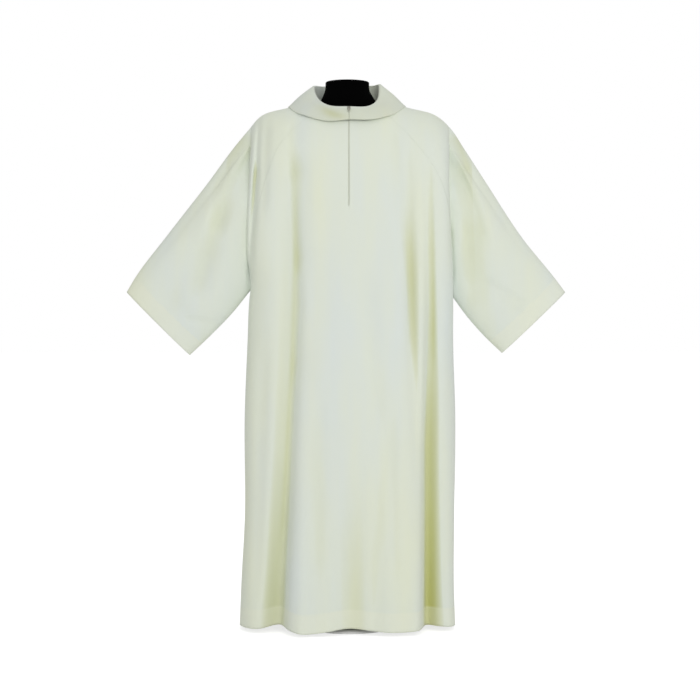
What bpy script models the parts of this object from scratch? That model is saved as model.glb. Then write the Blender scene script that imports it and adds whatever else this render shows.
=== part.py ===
"""Alb robe on a limbless dress form.

Metres, +Z up, the front faces -Y. The origin is on the floor, under the middle of the stand's foot.
Left and right are those of somebody who looks at the front, so left is -X.
The cloth is one master surface, cut along its seams into front, back and two raglan sleeves.
"""

import math

import bmesh
import bpy
import numpy as np
from mathutils import Matrix

# Cloth and seams
CLOTH = 0.0016
HEM_CLOTH = 0.003
COLLAR_CLOTH = 0.002
SEAM_GAP = 0.0004
SEAM_SETBACK = 0.00025
HEM_DEPTH = 0.050
CUFF_DEPTH = 0.047

# Heights on the body
SHOULDER_HEIGHT = 1.468
CHEST_ARCH = 0.160
BACK_ARCH = 0.100
FRONT_NECK_DROP = 0.036
BACK_NECK_DROP = 0.012
NECK_DIP = (1, 0.45, 0.12)
ZIP_END_HEIGHT = 1.165

# Mesh density
RING_STEPS = 12
NECK_STEPS = 2
LOWER_ROWS = 11
FRONT_COLUMNS = 34
BACK_COLUMNS = 26
SLEEVE_ROWS = 14
SLEEVE_CROWDING = 1.25
COLLAR_STEPS = 36

# Zip
ZIP_SLOT = 0.0019
CHAIN_HALF_WIDTH = 0.0015
CHAIN_DEPTH = (0.0002, 0.0012)
CHAIN_END = 0.06
TAPE_HALF_WIDTH = 0.011
TAPE_DEPTH = (0.0004, 0.0012)
SLIDER_SIZE = (0.0080, 0.0030, 0.0100)
EAR_SIZE = (0.0012, 0.0028, 0.0030)
EAR_OFFSET = 0.0021
EAR_SINK = 0.0004
PIVOT_OUT = 0.0012
PIVOT_UP = 0.0015
BARREL_RADIUS = 0.0009
BARREL_LENGTH = 0.0024
PULL_LENGTH = 0.014
PULL_HALF_THICK = 0.0005
PULL_NECK = 0.0010
PULL_SWELL = 0.0022
PULL_STEPS = 16

# Stand
POLE_RADIUS = 0.015
FOOT_RADIUS = 0.120
FOOT_HEIGHT = 0.022
FOOT_PROFILE = ((0.25, 1.0), (0.967, 0.42), (1.0, 0.25), (1.0, 0.0))

# Dress form
TORSO_BOTTOM = 0.760
ARMHOLE_HEIGHT = 1.360
NECK_TOP = 1.524
NECK_LEVELS = (1.475, 1.488, 1.500)
NECK_EDGE = 0.003
FORM_STEPS = 28
FORM_CLEARANCE = 0.0007
FORM_NECK_CLEARANCE = 0.0120
NECK_REACH = 0.055
SHOULDER_TIP = 0.176
SHOULDER_CAP = 0.040
CHEST_DEEP = 0.094
BACK_DEEP = 0.090
FORM_BLEND = 0.010

LEFT, RIGHT = -1, 1
IVORY = (0.77, 0.79, 0.70, 1.0)
ZIP_GREY = (0.45, 0.44, 0.36, 1.0)
BLACK = (0.006, 0.006, 0.007, 1.0)
PALE = (0.78, 0.78, 0.77, 1.0)


class Table:
    """Rows of named columns, read smoothly between the rows by their first column."""

    def __init__(self, columns, *rows):
        self.names = columns.split()
        self.values = dict(zip(self.names, np.array(rows, float).T))

    def read(self, column, place):
        """The column at `place`: a cubic through the rows, whose slope at a row is the mean one there."""
        key = self.values[self.names[0]]
        value = self.values[column]
        slope = np.gradient(value, key)
        place = np.clip(place, key[0], key[-1])
        row = np.clip(np.searchsorted(key, place, side="right") - 1, 0, len(key) - 2)
        step = key[row + 1] - key[row]
        t = (place - key[row]) / step
        start = (1 + 2 * t) * (1 - t) ** 2 * value[row] + t * (1 - t) ** 2 * step * slope[row]
        end = t * t * (3 - 2 * t) * value[row + 1] + t * t * (t - 1) * step * slope[row + 1]
        return start + end


# Half widths, depths and squareness of the body's level sections
BODY = Table(
    "height left  right left_square right_square front  back",
    (0.000, 0.305, 0.297, 2.6, 2.6, 0.168, 0.158),
    (0.130, 0.300, 0.293, 2.6, 2.6, 0.162, 0.153),
    (0.300, 0.291, 0.294, 2.6, 2.6, 0.156, 0.148),
    (0.600, 0.291, 0.297, 2.6, 2.6, 0.146, 0.138),
    (0.800, 0.283, 0.291, 2.7, 2.8, 0.139, 0.131),
    (0.923, 0.277, 0.2905, 3.0, 3.4, 0.134, 0.127),
    (0.943, 0.2745, 0.290, 3.1, 3.6, 0.133, 0.126),
    (1.040, 0.283, 0.286, 3.8, 5.5, 0.130, 0.122),
    (1.130, 0.283, 0.281, 4.2, 7.0, 0.128, 0.119),
    (1.250, 0.277, 0.277, 4.4, 7.0, 0.126, 0.116),
    (1.410, 0.273, 0.280, 4.4, 6.0, 0.125, 0.115),
    (1.470, 0.273, 0.280, 4.4, 6.0, 0.125, 0.115),
)

# The top edge of each sleeve: along the shoulder, round its corner and down to the cuff
SLEEVE_TOP = Table(
    "along left_x left_z right_x right_z",
    (0.00, 0.098, 1.468, 0.098, 1.468),
    (0.10, 0.173, 1.4513, 0.172, 1.4505),
    (0.20, 0.247, 1.428, 0.245, 1.429),
    (0.27, 0.283, 1.388, 0.285, 1.394),
    (0.35, 0.3225, 1.340, 0.319, 1.343),
    (0.50, 0.391, 1.247, 0.381, 1.247),
    (0.75, 0.509, 1.095, 0.486, 1.087),
    (0.95, 0.602, 0.971, 0.582, 0.968),
    (1.00, 0.6216, 0.9374, 0.605, 0.937),
)

# The bottom edge of each sleeve, from the underarm to the cuff
SLEEVE_BOTTOM = Table(
    "along left_x left_z right_x right_z",
    (0.00, 0.2745, 0.943, 0.2905, 0.923),
    (0.33, 0.326, 0.879, 0.332, 0.867),
    (0.67, 0.385, 0.818, 0.378, 0.815),
    (1.00, 0.445, 0.761, 0.428, 0.767),
)

# The raglan seam: down the neckline as far as 0.067, then to the underarm
RAGLAN_SEAM = Table(
    "down left_x left_z right_x right_z",
    (0.000, 0.098, 1.468, 0.098, 1.468),
    (0.067, 0.082, 1.448, 0.082, 1.448),
    (0.146, 0.118, 1.412, 0.118, 1.408),
    (0.250, 0.158, 1.374, 0.160, 1.366),
    (0.370, 0.194, 1.330, 0.203, 1.315),
    (0.500, 0.220, 1.268, 0.240, 1.262),
    (0.630, 0.240, 1.205, 0.266, 1.200),
    (0.750, 0.257, 1.135, 0.279, 1.130),
    (0.854, 0.268, 1.065, 0.284, 1.060),
    (0.933, 0.273, 1.000, 0.288, 0.995),
    (0.983, 0.2745, 0.958, 0.290, 0.945),
    (1.000, 0.2745, 0.943, 0.2905, 0.923),
)

# How deep the sleeve is, front or back, along its length
SLEEVE_DEPTH = Table(
    "along front back",
    (0.00, 0.052, 0.050),
    (0.30, 0.062, 0.058),
    (0.60, 0.057, 0.055),
    (1.00, 0.041, 0.040),
)

# Folds of the body: where each runs at four heights, where it starts, how deep it is, how wide to each side
FOLD_COLUMNS = "at_1300 at_900 at_500 at_0 starts deep_1000 deep_500 deep_0 wide_low wide_high".split()
FRONT_FOLDS = {
    "left valley": (-0.157, -0.144, -0.165, -0.190, 1.36, 0.018, 0.032, 0.074, 0.046, 0.018),
    "right valley": (0.216, 0.222, 0.214, 0.213, 1.28, 0.014, 0.050, 0.088, 0.014, 0.030),
    "right branch": (0.160, 0.168, 0.186, 0.190, 1.28, 0.012, 0.006, 0.000, 0.018, 0.018),
    "right gore": (0.262, 0.262, 0.258, 0.256, 0.70, 0.000, 0.012, 0.035, 0.030, 0.030),
    "middle trough": (0.000, 0.000, 0.004, 0.010, 0.55, 0.000, 0.004, 0.036, 0.048, 0.052),
    "left lobe": (-0.130, -0.120, -0.124, -0.132, 0.70, 0.000, -0.004, -0.014, 0.024, 0.028),
    "right trough": (0.080, 0.080, 0.084, 0.074, 0.78, 0.000, 0.007, 0.008, 0.020, 0.026),
}
BACK_FOLDS = {
    "left valley": (-0.160, -0.158, -0.175, -0.196, 1.25, 0.014, 0.030, 0.050, 0.036, 0.024),
    "left trough": (-0.060, -0.058, -0.062, -0.070, 1.05, 0.003, 0.012, 0.022, 0.030, 0.034),
    "right trough": (0.046, 0.050, 0.052, 0.060, 1.00, 0.003, 0.010, 0.024, 0.034, 0.028),
    "right valley": (0.165, 0.160, 0.172, 0.188, 1.22, 0.012, 0.030, 0.052, 0.022, 0.036),
}
FOLDS = {"front": FRONT_FOLDS, "back": BACK_FOLDS}

# Soft troughs of the sleeves, as lines seen from the front: start, end, half width, depth
CREASE_COLUMNS = "x0 z0 x1 z1 wide deep".split()
CREASES = {
    "front": (
        (-0.300, 1.340, -0.385, 1.130, 0.018, 0.010),
        (-0.325, 1.260, -0.405, 0.940, 0.026, 0.014),
        (0.292, 1.370, 0.345, 1.180, 0.014, 0.009),
        (0.315, 1.290, 0.372, 0.960, 0.024, 0.014),
        (-0.455, 0.860, -0.350, 0.850, 0.012, 0.007),
    ),
    "back": (
        (-0.300, 1.330, -0.400, 1.050, 0.022, 0.012),
        (0.300, 1.330, 0.395, 1.050, 0.022, 0.012),
    ),
}

# The height of the hem over the floor, at each distance across
HEM = Table(
    "across front back",
    (-0.300, 0.012, 0.012),
    (-0.250, 0.012, 0.011),
    (-0.190, 0.019, 0.015),
    (-0.130, 0.008, 0.010),
    (0.000, 0.018, 0.013),
    (0.110, 0.010, 0.010),
    (0.190, 0.012, 0.013),
    (0.220, 0.014, 0.014),
    (0.300, 0.011, 0.011),
)

# The collar at each bearing round the neck, 0 at the front and positive to the right
COLLAR = Table(
    "bearing rim_out rim_up edge_out edge_up",
    (-180, 0.0970, 1.5270, 0.1160, 1.4410),
    (-135, 0.1000, 1.5240, 0.1400, 1.4420),
    (-90, 0.1010, 1.5100, 0.1700, 1.4535),
    (-60, 0.0980, 1.4700, 0.1625, 1.4260),
    (-35, 0.0980, 1.4490, 0.1320, 1.4000),
    (0, 0.1000, 1.4425, 0.1125, 1.3985),
    (35, 0.0970, 1.4475, 0.1320, 1.4025),
    (60, 0.0930, 1.4700, 0.1530, 1.4300),
    (90, 0.0885, 1.5140, 0.1590, 1.4545),
    (135, 0.0960, 1.5260, 0.1350, 1.4420),
    (180, 0.0970, 1.5270, 0.1160, 1.4410),
)
COLLAR_BASE_DROP = 0.002
COLLAR_BASE_INSET = 0.0055
COLLAR_CLEARANCE = 0.0040
ROLL_POINT = 5
COLLAR_ROLL = 0.005
COLLAR_BULGE = 0.004
COLLAR_UNDERCUT = 0.006

# The dress form's level sections: half width, depth to the front and to the back, and the neck's flare
TORSO = Table(
    "height half front back",
    (0.760, 0.160, 0.095, 0.100),
    (0.860, 0.172, 0.100, 0.106),
    (1.050, 0.138, 0.090, 0.086),
    (1.200, 0.170, 0.108, 0.100),
    (1.300, 0.188, 0.104, 0.100),
    (1.360, 0.203, 0.094, 0.090),
)
NECK = Table(
    "height half deep",
    (1.360, 0.0880, 0.0780),
    (1.430, 0.0800, 0.0710),
    (1.455, 0.0755, 0.0680),
    (1.480, 0.0670, 0.0630),
    (1.500, 0.0612, 0.0600),
    (1.524, 0.0605, 0.0595),
)


def side_name(side):
    return "left" if side == LEFT else "right"


def smoothstep(value):
    value = np.clip(value, 0, 1)
    return value * value * (3 - 2 * value)


def smooth_max(a, b, blend):
    return 0.5 * (a + b + np.sqrt((a - b) ** 2 + blend**2))


def shoulder_height(x):
    """Height of the shoulder and sleeve's top edge at x."""
    along = np.linspace(0, 1, 80)
    heights = [
        np.interp(abs(x), SLEEVE_TOP.read(f"{name}_x", along), SLEEVE_TOP.read(f"{name}_z", along))
        for name in ("left", "right")
    ]
    return np.where(x < 0, heights[0], heights[1])


def body_half_width(x, z):
    return np.where(x < 0, BODY.read("left", z), BODY.read("right", z))


def fold_depth(face, x, z):
    """How far all folds of a face push the cloth in, each a soft bell across a line that wanders down the robe."""
    total = np.zeros(np.broadcast(x, z).shape)
    for fold in FOLDS[face].values():
        f = dict(zip(FOLD_COLUMNS, fold))
        centre = np.interp(z, (0, 0.5, 0.9, 1.3), (f["at_0"], f["at_500"], f["at_900"], f["at_1300"]))
        reach = smoothstep((f["starts"] - z) / 0.35)
        deep = np.interp(z, (0, 0.5, 1.0), (f["deep_0"], f["deep_500"], f["deep_1000"]))
        wide = np.where(x < centre, f["wide_low"], f["wide_high"])
        total += reach * deep * np.exp(-(((x - centre) / wide) ** 2))
    return total * (1 - np.clip(np.abs(x) / body_half_width(x, z), 0, 1) ** 8)


def crease_depth(face, x, z):
    """Soft troughs along straight lines, faded at both ends."""
    total = np.zeros(np.broadcast(x, z).shape)
    for crease in CREASES[face]:
        c = dict(zip(CREASE_COLUMNS, crease))
        run = np.array((c["x1"] - c["x0"], c["z1"] - c["z0"]))
        length = np.hypot(*run)
        run = run / length
        along = ((x - c["x0"]) * run[0] + (z - c["z0"]) * run[1]) / length
        off = (x - c["x0"]) * run[1] - (z - c["z0"]) * run[0]
        fade = smoothstep(along / 0.3 + 0.5) * smoothstep((1 - along) / 0.3 + 0.5)
        total += c["deep"] * fade * np.exp(-((off / c["wide"]) ** 2))
    return total


def body_depth(face, x, z):
    """Depth of chest or back off the middle plane: a squared oval across, arched up to the shoulder."""
    half = body_half_width(x, z)
    square = np.where(x < 0, BODY.read("left_square", z), BODY.read("right_square", z))
    across = (1 - np.clip(np.abs(x) / half, 0, 1) ** square) ** (1 / square)
    arch = CHEST_ARCH if face == "front" else BACK_ARCH
    drop = np.clip((shoulder_height(x) - z) / arch, 0, 1)
    rise = np.sqrt(1 - (1 - drop) ** 2)
    return np.clip(BODY.read(face, z) * across * rise - fold_depth(face, x, z), 0, None)


def sleeve_depth(face, down, along):
    """Depth of the sleeve's flattened tube. It takes over from the body below the raglan seam's upper part."""
    ring = np.sin(np.arccos(1 - 2 * np.clip(down, 0, 1)))
    join = smoothstep((down - 0.30) / 0.35)
    grown = join + (1 - join) * smoothstep(along / 0.40)
    return SLEEVE_DEPTH.read(face, along) * ring**0.8 * grown


def cloth_depth(face, x, z, down, along):
    """Depth of the master surface where sleeve and body both reach it."""
    ring = np.sin(np.arccos(1 - 2 * np.clip(down, 0, 1)))
    sleeve = sleeve_depth(face, down, along)
    sleeve = sleeve - crease_depth(face, x, z) * ring * smoothstep(along / 0.15)
    return smooth_max(body_depth(face, x, z), sleeve, 0.016 * ring)


def ring_places():
    """How far down the raglan seam each point of a half ring lies: close together at both ends."""
    return (1 - np.cos(np.linspace(0, math.pi, RING_STEPS + 1))) / 2


def edge_point(table, side, place):
    name = side_name(side)
    return np.stack([side * table.read(f"{name}_x", place), table.read(f"{name}_z", place)], -1)


def sleeve_face(side, face):
    """Half a sleeve as a Coons patch between seam, top edge, bottom edge and cuff, seen from the front.

    Rows run from the seam to the cuff, closer together near the seam. Columns run from the top edge to the bottom.
    """
    length = np.hypot(*(edge_point(SLEEVE_TOP, side, 1.0) - edge_point(SLEEVE_TOP, side, 0.4))) / 0.6
    turn_up = 1 - CUFF_DEPTH / length
    step = 0.004 / length
    upper = np.linspace(0, 1, SLEEVE_ROWS + 1) ** SLEEVE_CROWDING * turn_up
    along = np.concatenate([upper, [turn_up + step, 1]])
    along = along[:, None, None]
    down = ring_places()[None, :, None]
    top = edge_point(SLEEVE_TOP, side, along[..., 0])
    bottom = edge_point(SLEEVE_BOTTOM, side, along[..., 0])
    seam = edge_point(RAGLAN_SEAM, side, down[..., 0])
    cuff = (1 - down) * top[-1:] + down * bottom[-1:]
    corners = (1 - down) * ((1 - along) * top[:1] + along * top[-1:])
    corners = corners + down * ((1 - along) * bottom[:1] + along * bottom[-1:])
    flat = (1 - down) * top + down * bottom + (1 - along) * seam + along * cuff - corners
    x, z = flat[..., 0], flat[..., 1]
    depth = cloth_depth(face, x, z, down[..., 0] + 0 * x, along[..., 0] + 0 * x)
    depth[:, 0] = 0
    depth[:, -1] = 0
    return np.stack([x, -depth if face == "front" else depth, z], -1), along.ravel() >= turn_up + step / 2


def panel(face):
    """Front or back of the body. Rows run from the neckline to the hem, columns from left to right."""
    columns = FRONT_COLUMNS if face == "front" else BACK_COLUMNS
    down = ring_places()[NECK_STEPS:]
    lower = np.linspace(0, 1, LOWER_ROWS + 1)[1:]
    neck_drop = FRONT_NECK_DROP if face == "front" else BACK_NECK_DROP
    ends = {}
    for side in (LEFT, RIGHT):
        seam = edge_point(RAGLAN_SEAM, side, down)
        hem = float(HEM.read(face, side * 0.300))
        start = seam[-1, 1]
        turn_up = hem + HEM_DEPTH
        heights = start + (turn_up - start) * lower
        heights = np.concatenate([heights, [turn_up - 0.003, hem]])
        widths = BODY.read(side_name(side), heights)
        ends[side] = np.concatenate([seam, np.stack([side * widths, heights], -1)])
    rows = len(ends[LEFT])
    middle = columns // 2
    evenly = np.linspace(-1, 1, columns + 1)
    bent = np.sin(evenly * math.pi / 2)
    left, right = ends[LEFT][:, None], ends[RIGHT][:, None]
    low_down = np.arange(rows) - (len(down) - 1)
    settle = smoothstep((low_down / (len(down) - 1) + 0.75) / 0.75)[:, None]
    place = evenly * (1 - settle) + bent * settle
    if face == "front":
        half = np.linspace(0, 1, middle)
        half = half * (1 - settle) + np.sin(half * math.pi / 2) * settle
        slots = [ZIP_SLOT / np.abs(end[:, 0])[:, None] for end in (ends[LEFT], ends[RIGHT])]
        low, high = (slot + (1 - slot) * half for slot in slots)
        place = np.concatenate([-low[:, ::-1], high], 1)
    share = (place + 1) / 2
    x = np.where(place < 0, -place * left[..., 0], place * right[..., 0])
    z = left[..., 1] * (1 - share) + right[..., 1] * share
    dip = neck_drop * np.array([*NECK_DIP] + [0] * (rows - len(NECK_DIP)))
    if face == "front":
        zip_row = np.argmin(np.abs(z[:, middle] - ZIP_END_HEIGHT))
        lift = ZIP_END_HEIGHT - z[zip_row, middle]
        dip = dip - lift * np.exp(-(((np.arange(rows) - zip_row) / 1.2) ** 2))
    z = z - dip[:, None] * np.cos(place * math.pi / 2) ** 1.2
    hem_share = smoothstep((low_down[:, None] - LOWER_ROWS * 0.6) / (LOWER_ROWS * 0.4))
    level = HEM.read(face, -0.300) * (1 - share) + HEM.read(face, 0.300) * share
    z = z + hem_share * (HEM.read(face, x) - level)
    seam_down = np.concatenate([down, np.ones(rows - len(down))])[:, None] + 0 * x
    depth = cloth_depth(face, x, z, seam_down, 0 * x)
    depth[low_down >= 0, 0] = 0
    depth[low_down >= 0, -1] = 0
    double = low_down > LOWER_ROWS
    return np.stack([x, -depth if face == "front" else depth, z], -1), double


def unit(vectors):
    return vectors / np.maximum(np.linalg.norm(vectors, axis=-1, keepdims=True), 1e-9)


def grid_normals(points, outward, closed=False):
    """Normals of a grid of points, each the mean of the cells round it, on the side of the vectors `outward`."""
    if closed:
        points = np.concatenate([points[:, -1:], points, points[:, :1]], 1)
    cells = unit(np.cross(points[1:, 1:] - points[:-1, :-1], points[1:, :-1] - points[:-1, 1:]))
    normals = np.zeros(points.shape)
    for rows in (slice(None, -1), slice(1, None)):
        for columns in (slice(None, -1), slice(1, None)):
            normals[rows, columns] += cells
    normals = unit(normals[:, 1:-1] if closed else normals)
    return normals * np.sign(np.sum(normals * outward, -1).mean())


def cloth_object(name, outer, inner, material, closed=False, open_cells=()):
    """One closed wall between two grids of points, with faces along every edge that only one cell has.

    A cell is split along its shorter diagonal, on both sides of the cloth alike, so that the sides never cross.
    A face on an edge is split from its lower outer corner, so that both sides of a seam are split alike.
    """
    rows, columns = outer.shape[:2]
    count = rows * columns
    cells = []
    for row in range(rows - 1):
        for column in range(columns if closed else columns - 1):
            if (row, column) in open_cells:
                continue
            after = (column + 1) % columns
            corners = ((row, column), (row, after), (row + 1, after), (row + 1, column))
            cells.append(tuple(r * columns + c for r, c in corners))
    edges = {(cell[k], cell[(k + 1) % 4]) for cell in cells for k in range(4)}
    points = np.concatenate([outer.reshape(-1, 3), inner.reshape(-1, 3)])
    faces = []
    for a, b, c, d in cells:
        if np.linalg.norm(points[a] - points[c]) > np.linalg.norm(points[b] - points[d]):
            a, b, c, d = b, c, d, a
        faces += [(a, b, c), (a, c, d), (c + count, b + count, a + count), (d + count, c + count, a + count)]
    for a, b in sorted(edges):
        if (b, a) in edges:
            continue
        if points[a, 2] < points[b, 2]:
            faces += [(b, a, b + count), (a, a + count, b + count)]
        else:
            faces += [(b, a, a + count), (b, a + count, b + count)]
    return mesh_object(name, points, faces, material)


def mesh_object(name, points, faces, material):
    """A mesh object with its faces turned outwards, on flat seams and smooth elsewhere."""
    mesh = bpy.data.meshes.new(name)
    mesh.from_pydata([tuple(map(float, point)) for point in points], [], faces)
    shape = bmesh.new()
    shape.from_mesh(mesh)
    loose = [vertex for vertex in shape.verts if not vertex.link_faces]
    bmesh.ops.delete(shape, geom=loose, context="VERTS")
    bmesh.ops.recalc_face_normals(shape, faces=shape.faces)
    shape.to_mesh(mesh)
    shape.free()
    mesh.shade_smooth()
    mesh.set_sharp_from_angle(angle=math.radians(40))
    return keep(bpy.data.objects.new(name, mesh), material)


def keep(obj, material):
    """Puts an object in the robe's collection, with its material."""
    for collection in obj.users_collection:
        collection.objects.unlink(obj)
    bpy.data.collections["alb_robe"].objects.link(obj)
    obj.data.materials.clear()
    obj.data.materials.append(material)
    return obj


def finish(name, colour, roughness, metallic=0.0):
    material = bpy.data.materials.new(name)
    material.use_nodes = True
    shader = material.node_tree.nodes["Principled BSDF"]
    shader.inputs["Base Color"].default_value = colour
    shader.inputs["Roughness"].default_value = roughness
    shader.inputs["Metallic"].default_value = metallic
    return material


def body_and_sleeves(material):
    """The four main pieces. Along each seam both pieces share points and wall direction, a seam gap apart."""
    panels = {face: panel(face) for face in ("front", "back")}
    forward = {"front": np.array((0, -1.0, 0)), "back": np.array((0, 1.0, 0))}
    normals = {face: grid_normals(panels[face][0], forward[face]) for face in panels}
    outer = {face: panels[face][0].copy() for face in panels}
    seam_rows = RING_STEPS - NECK_STEPS + 1
    for side in (LEFT, RIGHT):
        faces = {face: sleeve_face(side, face) for face in ("front", "back")}
        double = faces["front"][1]
        halves = {face: faces[face][0] for face in faces}
        ring = np.concatenate([halves["front"], halves["back"][:, -2:0:-1]], 1)
        ring_normals = grid_normals(ring, ring - ring.mean(1, keepdims=True), closed=True)
        underarm = unit(np.array((0.3 * side, 0, -1.0)))
        ring_outer = ring.copy()
        column = 0 if side == LEFT else -1
        for face in ("front", "back"):
            order = np.arange(NECK_STEPS, RING_STEPS + 1)
            if face == "back":
                order = (2 * RING_STEPS - order) % (2 * RING_STEPS)
            common = unit(ring_normals[0, order] + normals[face][:seam_rows, column])
            common[-1] = underarm
            tangent = unit(np.gradient(ring[0, order], axis=0))
            across = np.cross(common, tangent)
            into_sleeve = across * np.sign(across @ np.array((side, 0, 0.5)))[:, None]
            into_panel = -into_sleeve
            into_sleeve[-1] = unit(ring[1, order[-1]] - ring[0, order[-1]])
            into_panel[-1] = unit(np.array((-side, 0.0, 0.3)))
            ring_normals[0, order] = common
            ring_outer[0, order] = ring[0, order] + into_sleeve * SEAM_SETBACK
            normals[face][:seam_rows, column] = common
            normals[face][seam_rows:, column] = (side, 0, 0)
            outer[face][:seam_rows, column] += into_panel * SEAM_SETBACK
            outer[face][seam_rows - 1:, column] += forward[face] * SEAM_GAP / 2
        thick = np.where(double, HEM_CLOTH, CLOTH)[:, None, None]
        inner = ring_outer - ring_normals * thick
        cloth_object(f"sleeve_{side_name(side)}", ring_outer, inner, material, closed=True)
    middle = FRONT_COLUMNS // 2 - 1
    slot_rows = int(np.argmin(np.abs(outer["front"][:, middle, 2] - ZIP_END_HEIGHT)))
    slot = {(row, middle) for row in range(slot_rows)}
    for face, open_cells in (("front", slot), ("back", ())):
        thick = np.where(panels[face][1], HEM_CLOTH, CLOTH)[:, None, None]
        inner = outer[face] - normals[face] * thick
        cloth_object(f"{face}_panel", outer[face], inner, material, open_cells=open_cells)
    centre = outer["front"][: slot_rows + 1, middle: middle + 2].mean(1)
    return centre, neckline(outer)


def neckline(outer):
    """Bearing, distance and height of the neckline, all the way round."""
    points = np.concatenate([outer["front"][0], outer["back"][0], shoulder_point(LEFT), shoulder_point(RIGHT)])
    bearing = np.degrees(np.arctan2(points[:, 0], -points[:, 1]))
    order = np.argsort(bearing)
    return bearing[order], np.hypot(points[:, 0], points[:, 1])[order], points[order, 2]


def shoulder_point(side):
    """The neckline's highest point, on the shoulder."""
    x, z = edge_point(RAGLAN_SEAM, side, 0.0)
    return np.array(((x, 0.0, z),))


def collar_profile(bearing, neck):
    """Middle line of the collar's wall, as distance from the neck's axis and height, from inside to outer edge."""
    rim_out, rim_up, edge_out, edge_up = (COLLAR.read(name, bearing) for name in COLLAR.names[1:])
    base_out = np.interp(bearing, neck[0], neck[1], period=360) - COLLAR_BASE_INSET
    base_up = np.interp(bearing, neck[0], neck[2], period=360) - COLLAR_BASE_DROP
    roll = COLLAR_ROLL
    inside = rim_out - roll
    points = [
        (base_out, base_up),
        (0.5 * (base_out + inside), 0.55 * base_up + 0.45 * rim_up),
        (inside, rim_up - roll),
        (rim_out - roll * 0.7, rim_up - roll * 0.3),
        (rim_out, rim_up),
        (rim_out + roll * 0.75, rim_up - roll * 0.35),
    ]
    start = np.array(points[-1])
    end = np.array((edge_out, edge_up))
    across = np.array((end[1] - start[1], start[0] - end[0]))
    across = -across / np.hypot(*across)
    for share in (0.25, 0.5, 0.75, 1.0):
        points.append(tuple(start + (end - start) * share + across * COLLAR_BULGE * math.sin(math.pi * share)))
    return np.array(points)


def yoke_height(x, y):
    """Height of the robe's arch over the shoulders."""
    arch = np.where(y < 0, CHEST_ARCH, BACK_ARCH)
    depth = np.where(y < 0, BODY.read("front", SHOULDER_HEIGHT), BODY.read("back", SHOULDER_HEIGHT))
    return shoulder_height(x) - arch * (1 - np.sqrt(1 - np.clip(y / depth, -1, 1) ** 2))


def collar(neck, material):
    """The turned-down collar: one strip round the neck, open at the front for the zip."""
    bearings = np.linspace(0, 360, COLLAR_STEPS + 1)
    outer, inner = [], []
    for step, bearing in enumerate(bearings):
        signed = bearing if bearing <= 180 else bearing - 360
        line = collar_profile(signed, neck)
        run = unit(np.gradient(line, axis=0))
        normal = np.stack([run[:, 1], -run[:, 0]], -1)
        turn = math.radians(signed)
        below = line - normal * COLLAR_CLOTH / 2
        floor = yoke_height(below[:, 0] * math.sin(turn), -below[:, 0] * math.cos(turn)) + COLLAR_CLEARANCE
        lift = np.where(np.arange(len(line)) > ROLL_POINT, np.maximum(floor - below[:, 1], 0), 0)
        for wall, offset in ((outer, 0.5), (inner, -0.5)):
            distance, height = (line + normal * COLLAR_CLOTH * offset).T
            x = distance * math.sin(turn)
            y = -distance * math.cos(turn)
            height = height + lift
            if step in (0, COLLAR_STEPS):
                x = np.full_like(x, ZIP_SLOT if step == 0 else -ZIP_SLOT)
            wall.append(np.stack([x, y, height], -1))
    cloth_object("collar", np.array(outer), np.array(inner), material)


def strip(name, centre, half_width, front, back, material):
    """A ribbon that follows points in the middle plane, between two offsets along the points' normals."""
    run = unit(np.gradient(centre, axis=0))
    normal = np.cross(run, (1.0, 0, 0))
    normal *= np.sign(-normal[:, 1])[:, None]
    sides = np.array(((-half_width, 0, 0), (half_width, 0, 0)))
    outer = centre[:, None] + normal[:, None] * front + sides[None]
    inner = centre[:, None] + normal[:, None] * back + sides[None]
    return cloth_object(name, outer, inner, material)


def zip_parts(centre, neck, cloth, metal):
    """Tape behind the slot, chain in it and over the collar's fall, slider near the rim and its pull tab."""
    centre = centre.copy()
    centre[:, 0] = 0
    strip("zip_tape", centre[1:], TAPE_HALF_WIDTH, -CLOTH - TAPE_DEPTH[0], -CLOTH - TAPE_DEPTH[1], cloth)
    fall = collar_profile(0.0, neck)[ROLL_POINT:][::-1]
    run = unit(np.gradient(fall, axis=0))
    fall = fall + np.stack([-run[:, 1], run[:, 0]], -1) * -COLLAR_CLOTH / 2 * np.sign(run[:1, 1:])
    fall = np.stack([np.zeros(len(fall)), -fall[:, 0], fall[:, 1]], -1)
    chest = centre[centre[:, 2] < fall[0, 2] - COLLAR_UNDERCUT][::-1]
    chest[0] += (chest[1] - chest[0]) * CHAIN_END
    path = np.concatenate([chest, fall])
    strip("zip_chain", path, CHAIN_HALF_WIDTH, -CHAIN_DEPTH[0], -CHAIN_DEPTH[1], metal)
    top, below = fall[-1], fall[-2]
    down = unit(below - top)
    out = np.array((0, down[2], -down[1]))
    out *= np.sign(-out[1])
    slider((top + below) / 2, down, out, metal)


def slider(middle, down, out, metal):
    """Slider: a bevelled block with two ears. The pull tab's barrel turns between the ears."""
    lean = math.atan2(-out[2], -out[1])
    seat = middle + out * (SEAM_GAP + SLIDER_SIZE[1] / 2)
    body = block("zip_slider", seat, SLIDER_SIZE, lean, metal)
    pivot = seat + out * (SLIDER_SIZE[1] / 2 + PIVOT_OUT) - down * PIVOT_UP
    for side in (LEFT, RIGHT):
        place = pivot + np.array((side * EAR_OFFSET, 0, 0)) - out * EAR_SINK
        ear = block(f"ear_{side_name(side)}", place, EAR_SIZE, lean, metal)
        cutter(ear)
        join(body, ear)
    pull_tab(pivot, lean, metal)


def block(name, middle, size, lean, material):
    """A box turned by `lean` about X, with its scale applied and its edges bevelled."""
    bpy.ops.mesh.primitive_cube_add(size=1)
    obj = bpy.context.object
    obj.name = name
    obj.data.transform(Matrix.Diagonal((*size, 1)))
    obj.location = middle
    obj.rotation_euler = (lean, 0, 0)
    bevel = obj.modifiers.new("rounded", "BEVEL")
    bevel.width = min(size) * 0.2
    bevel.segments = 1
    return keep(obj, material)


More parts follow.
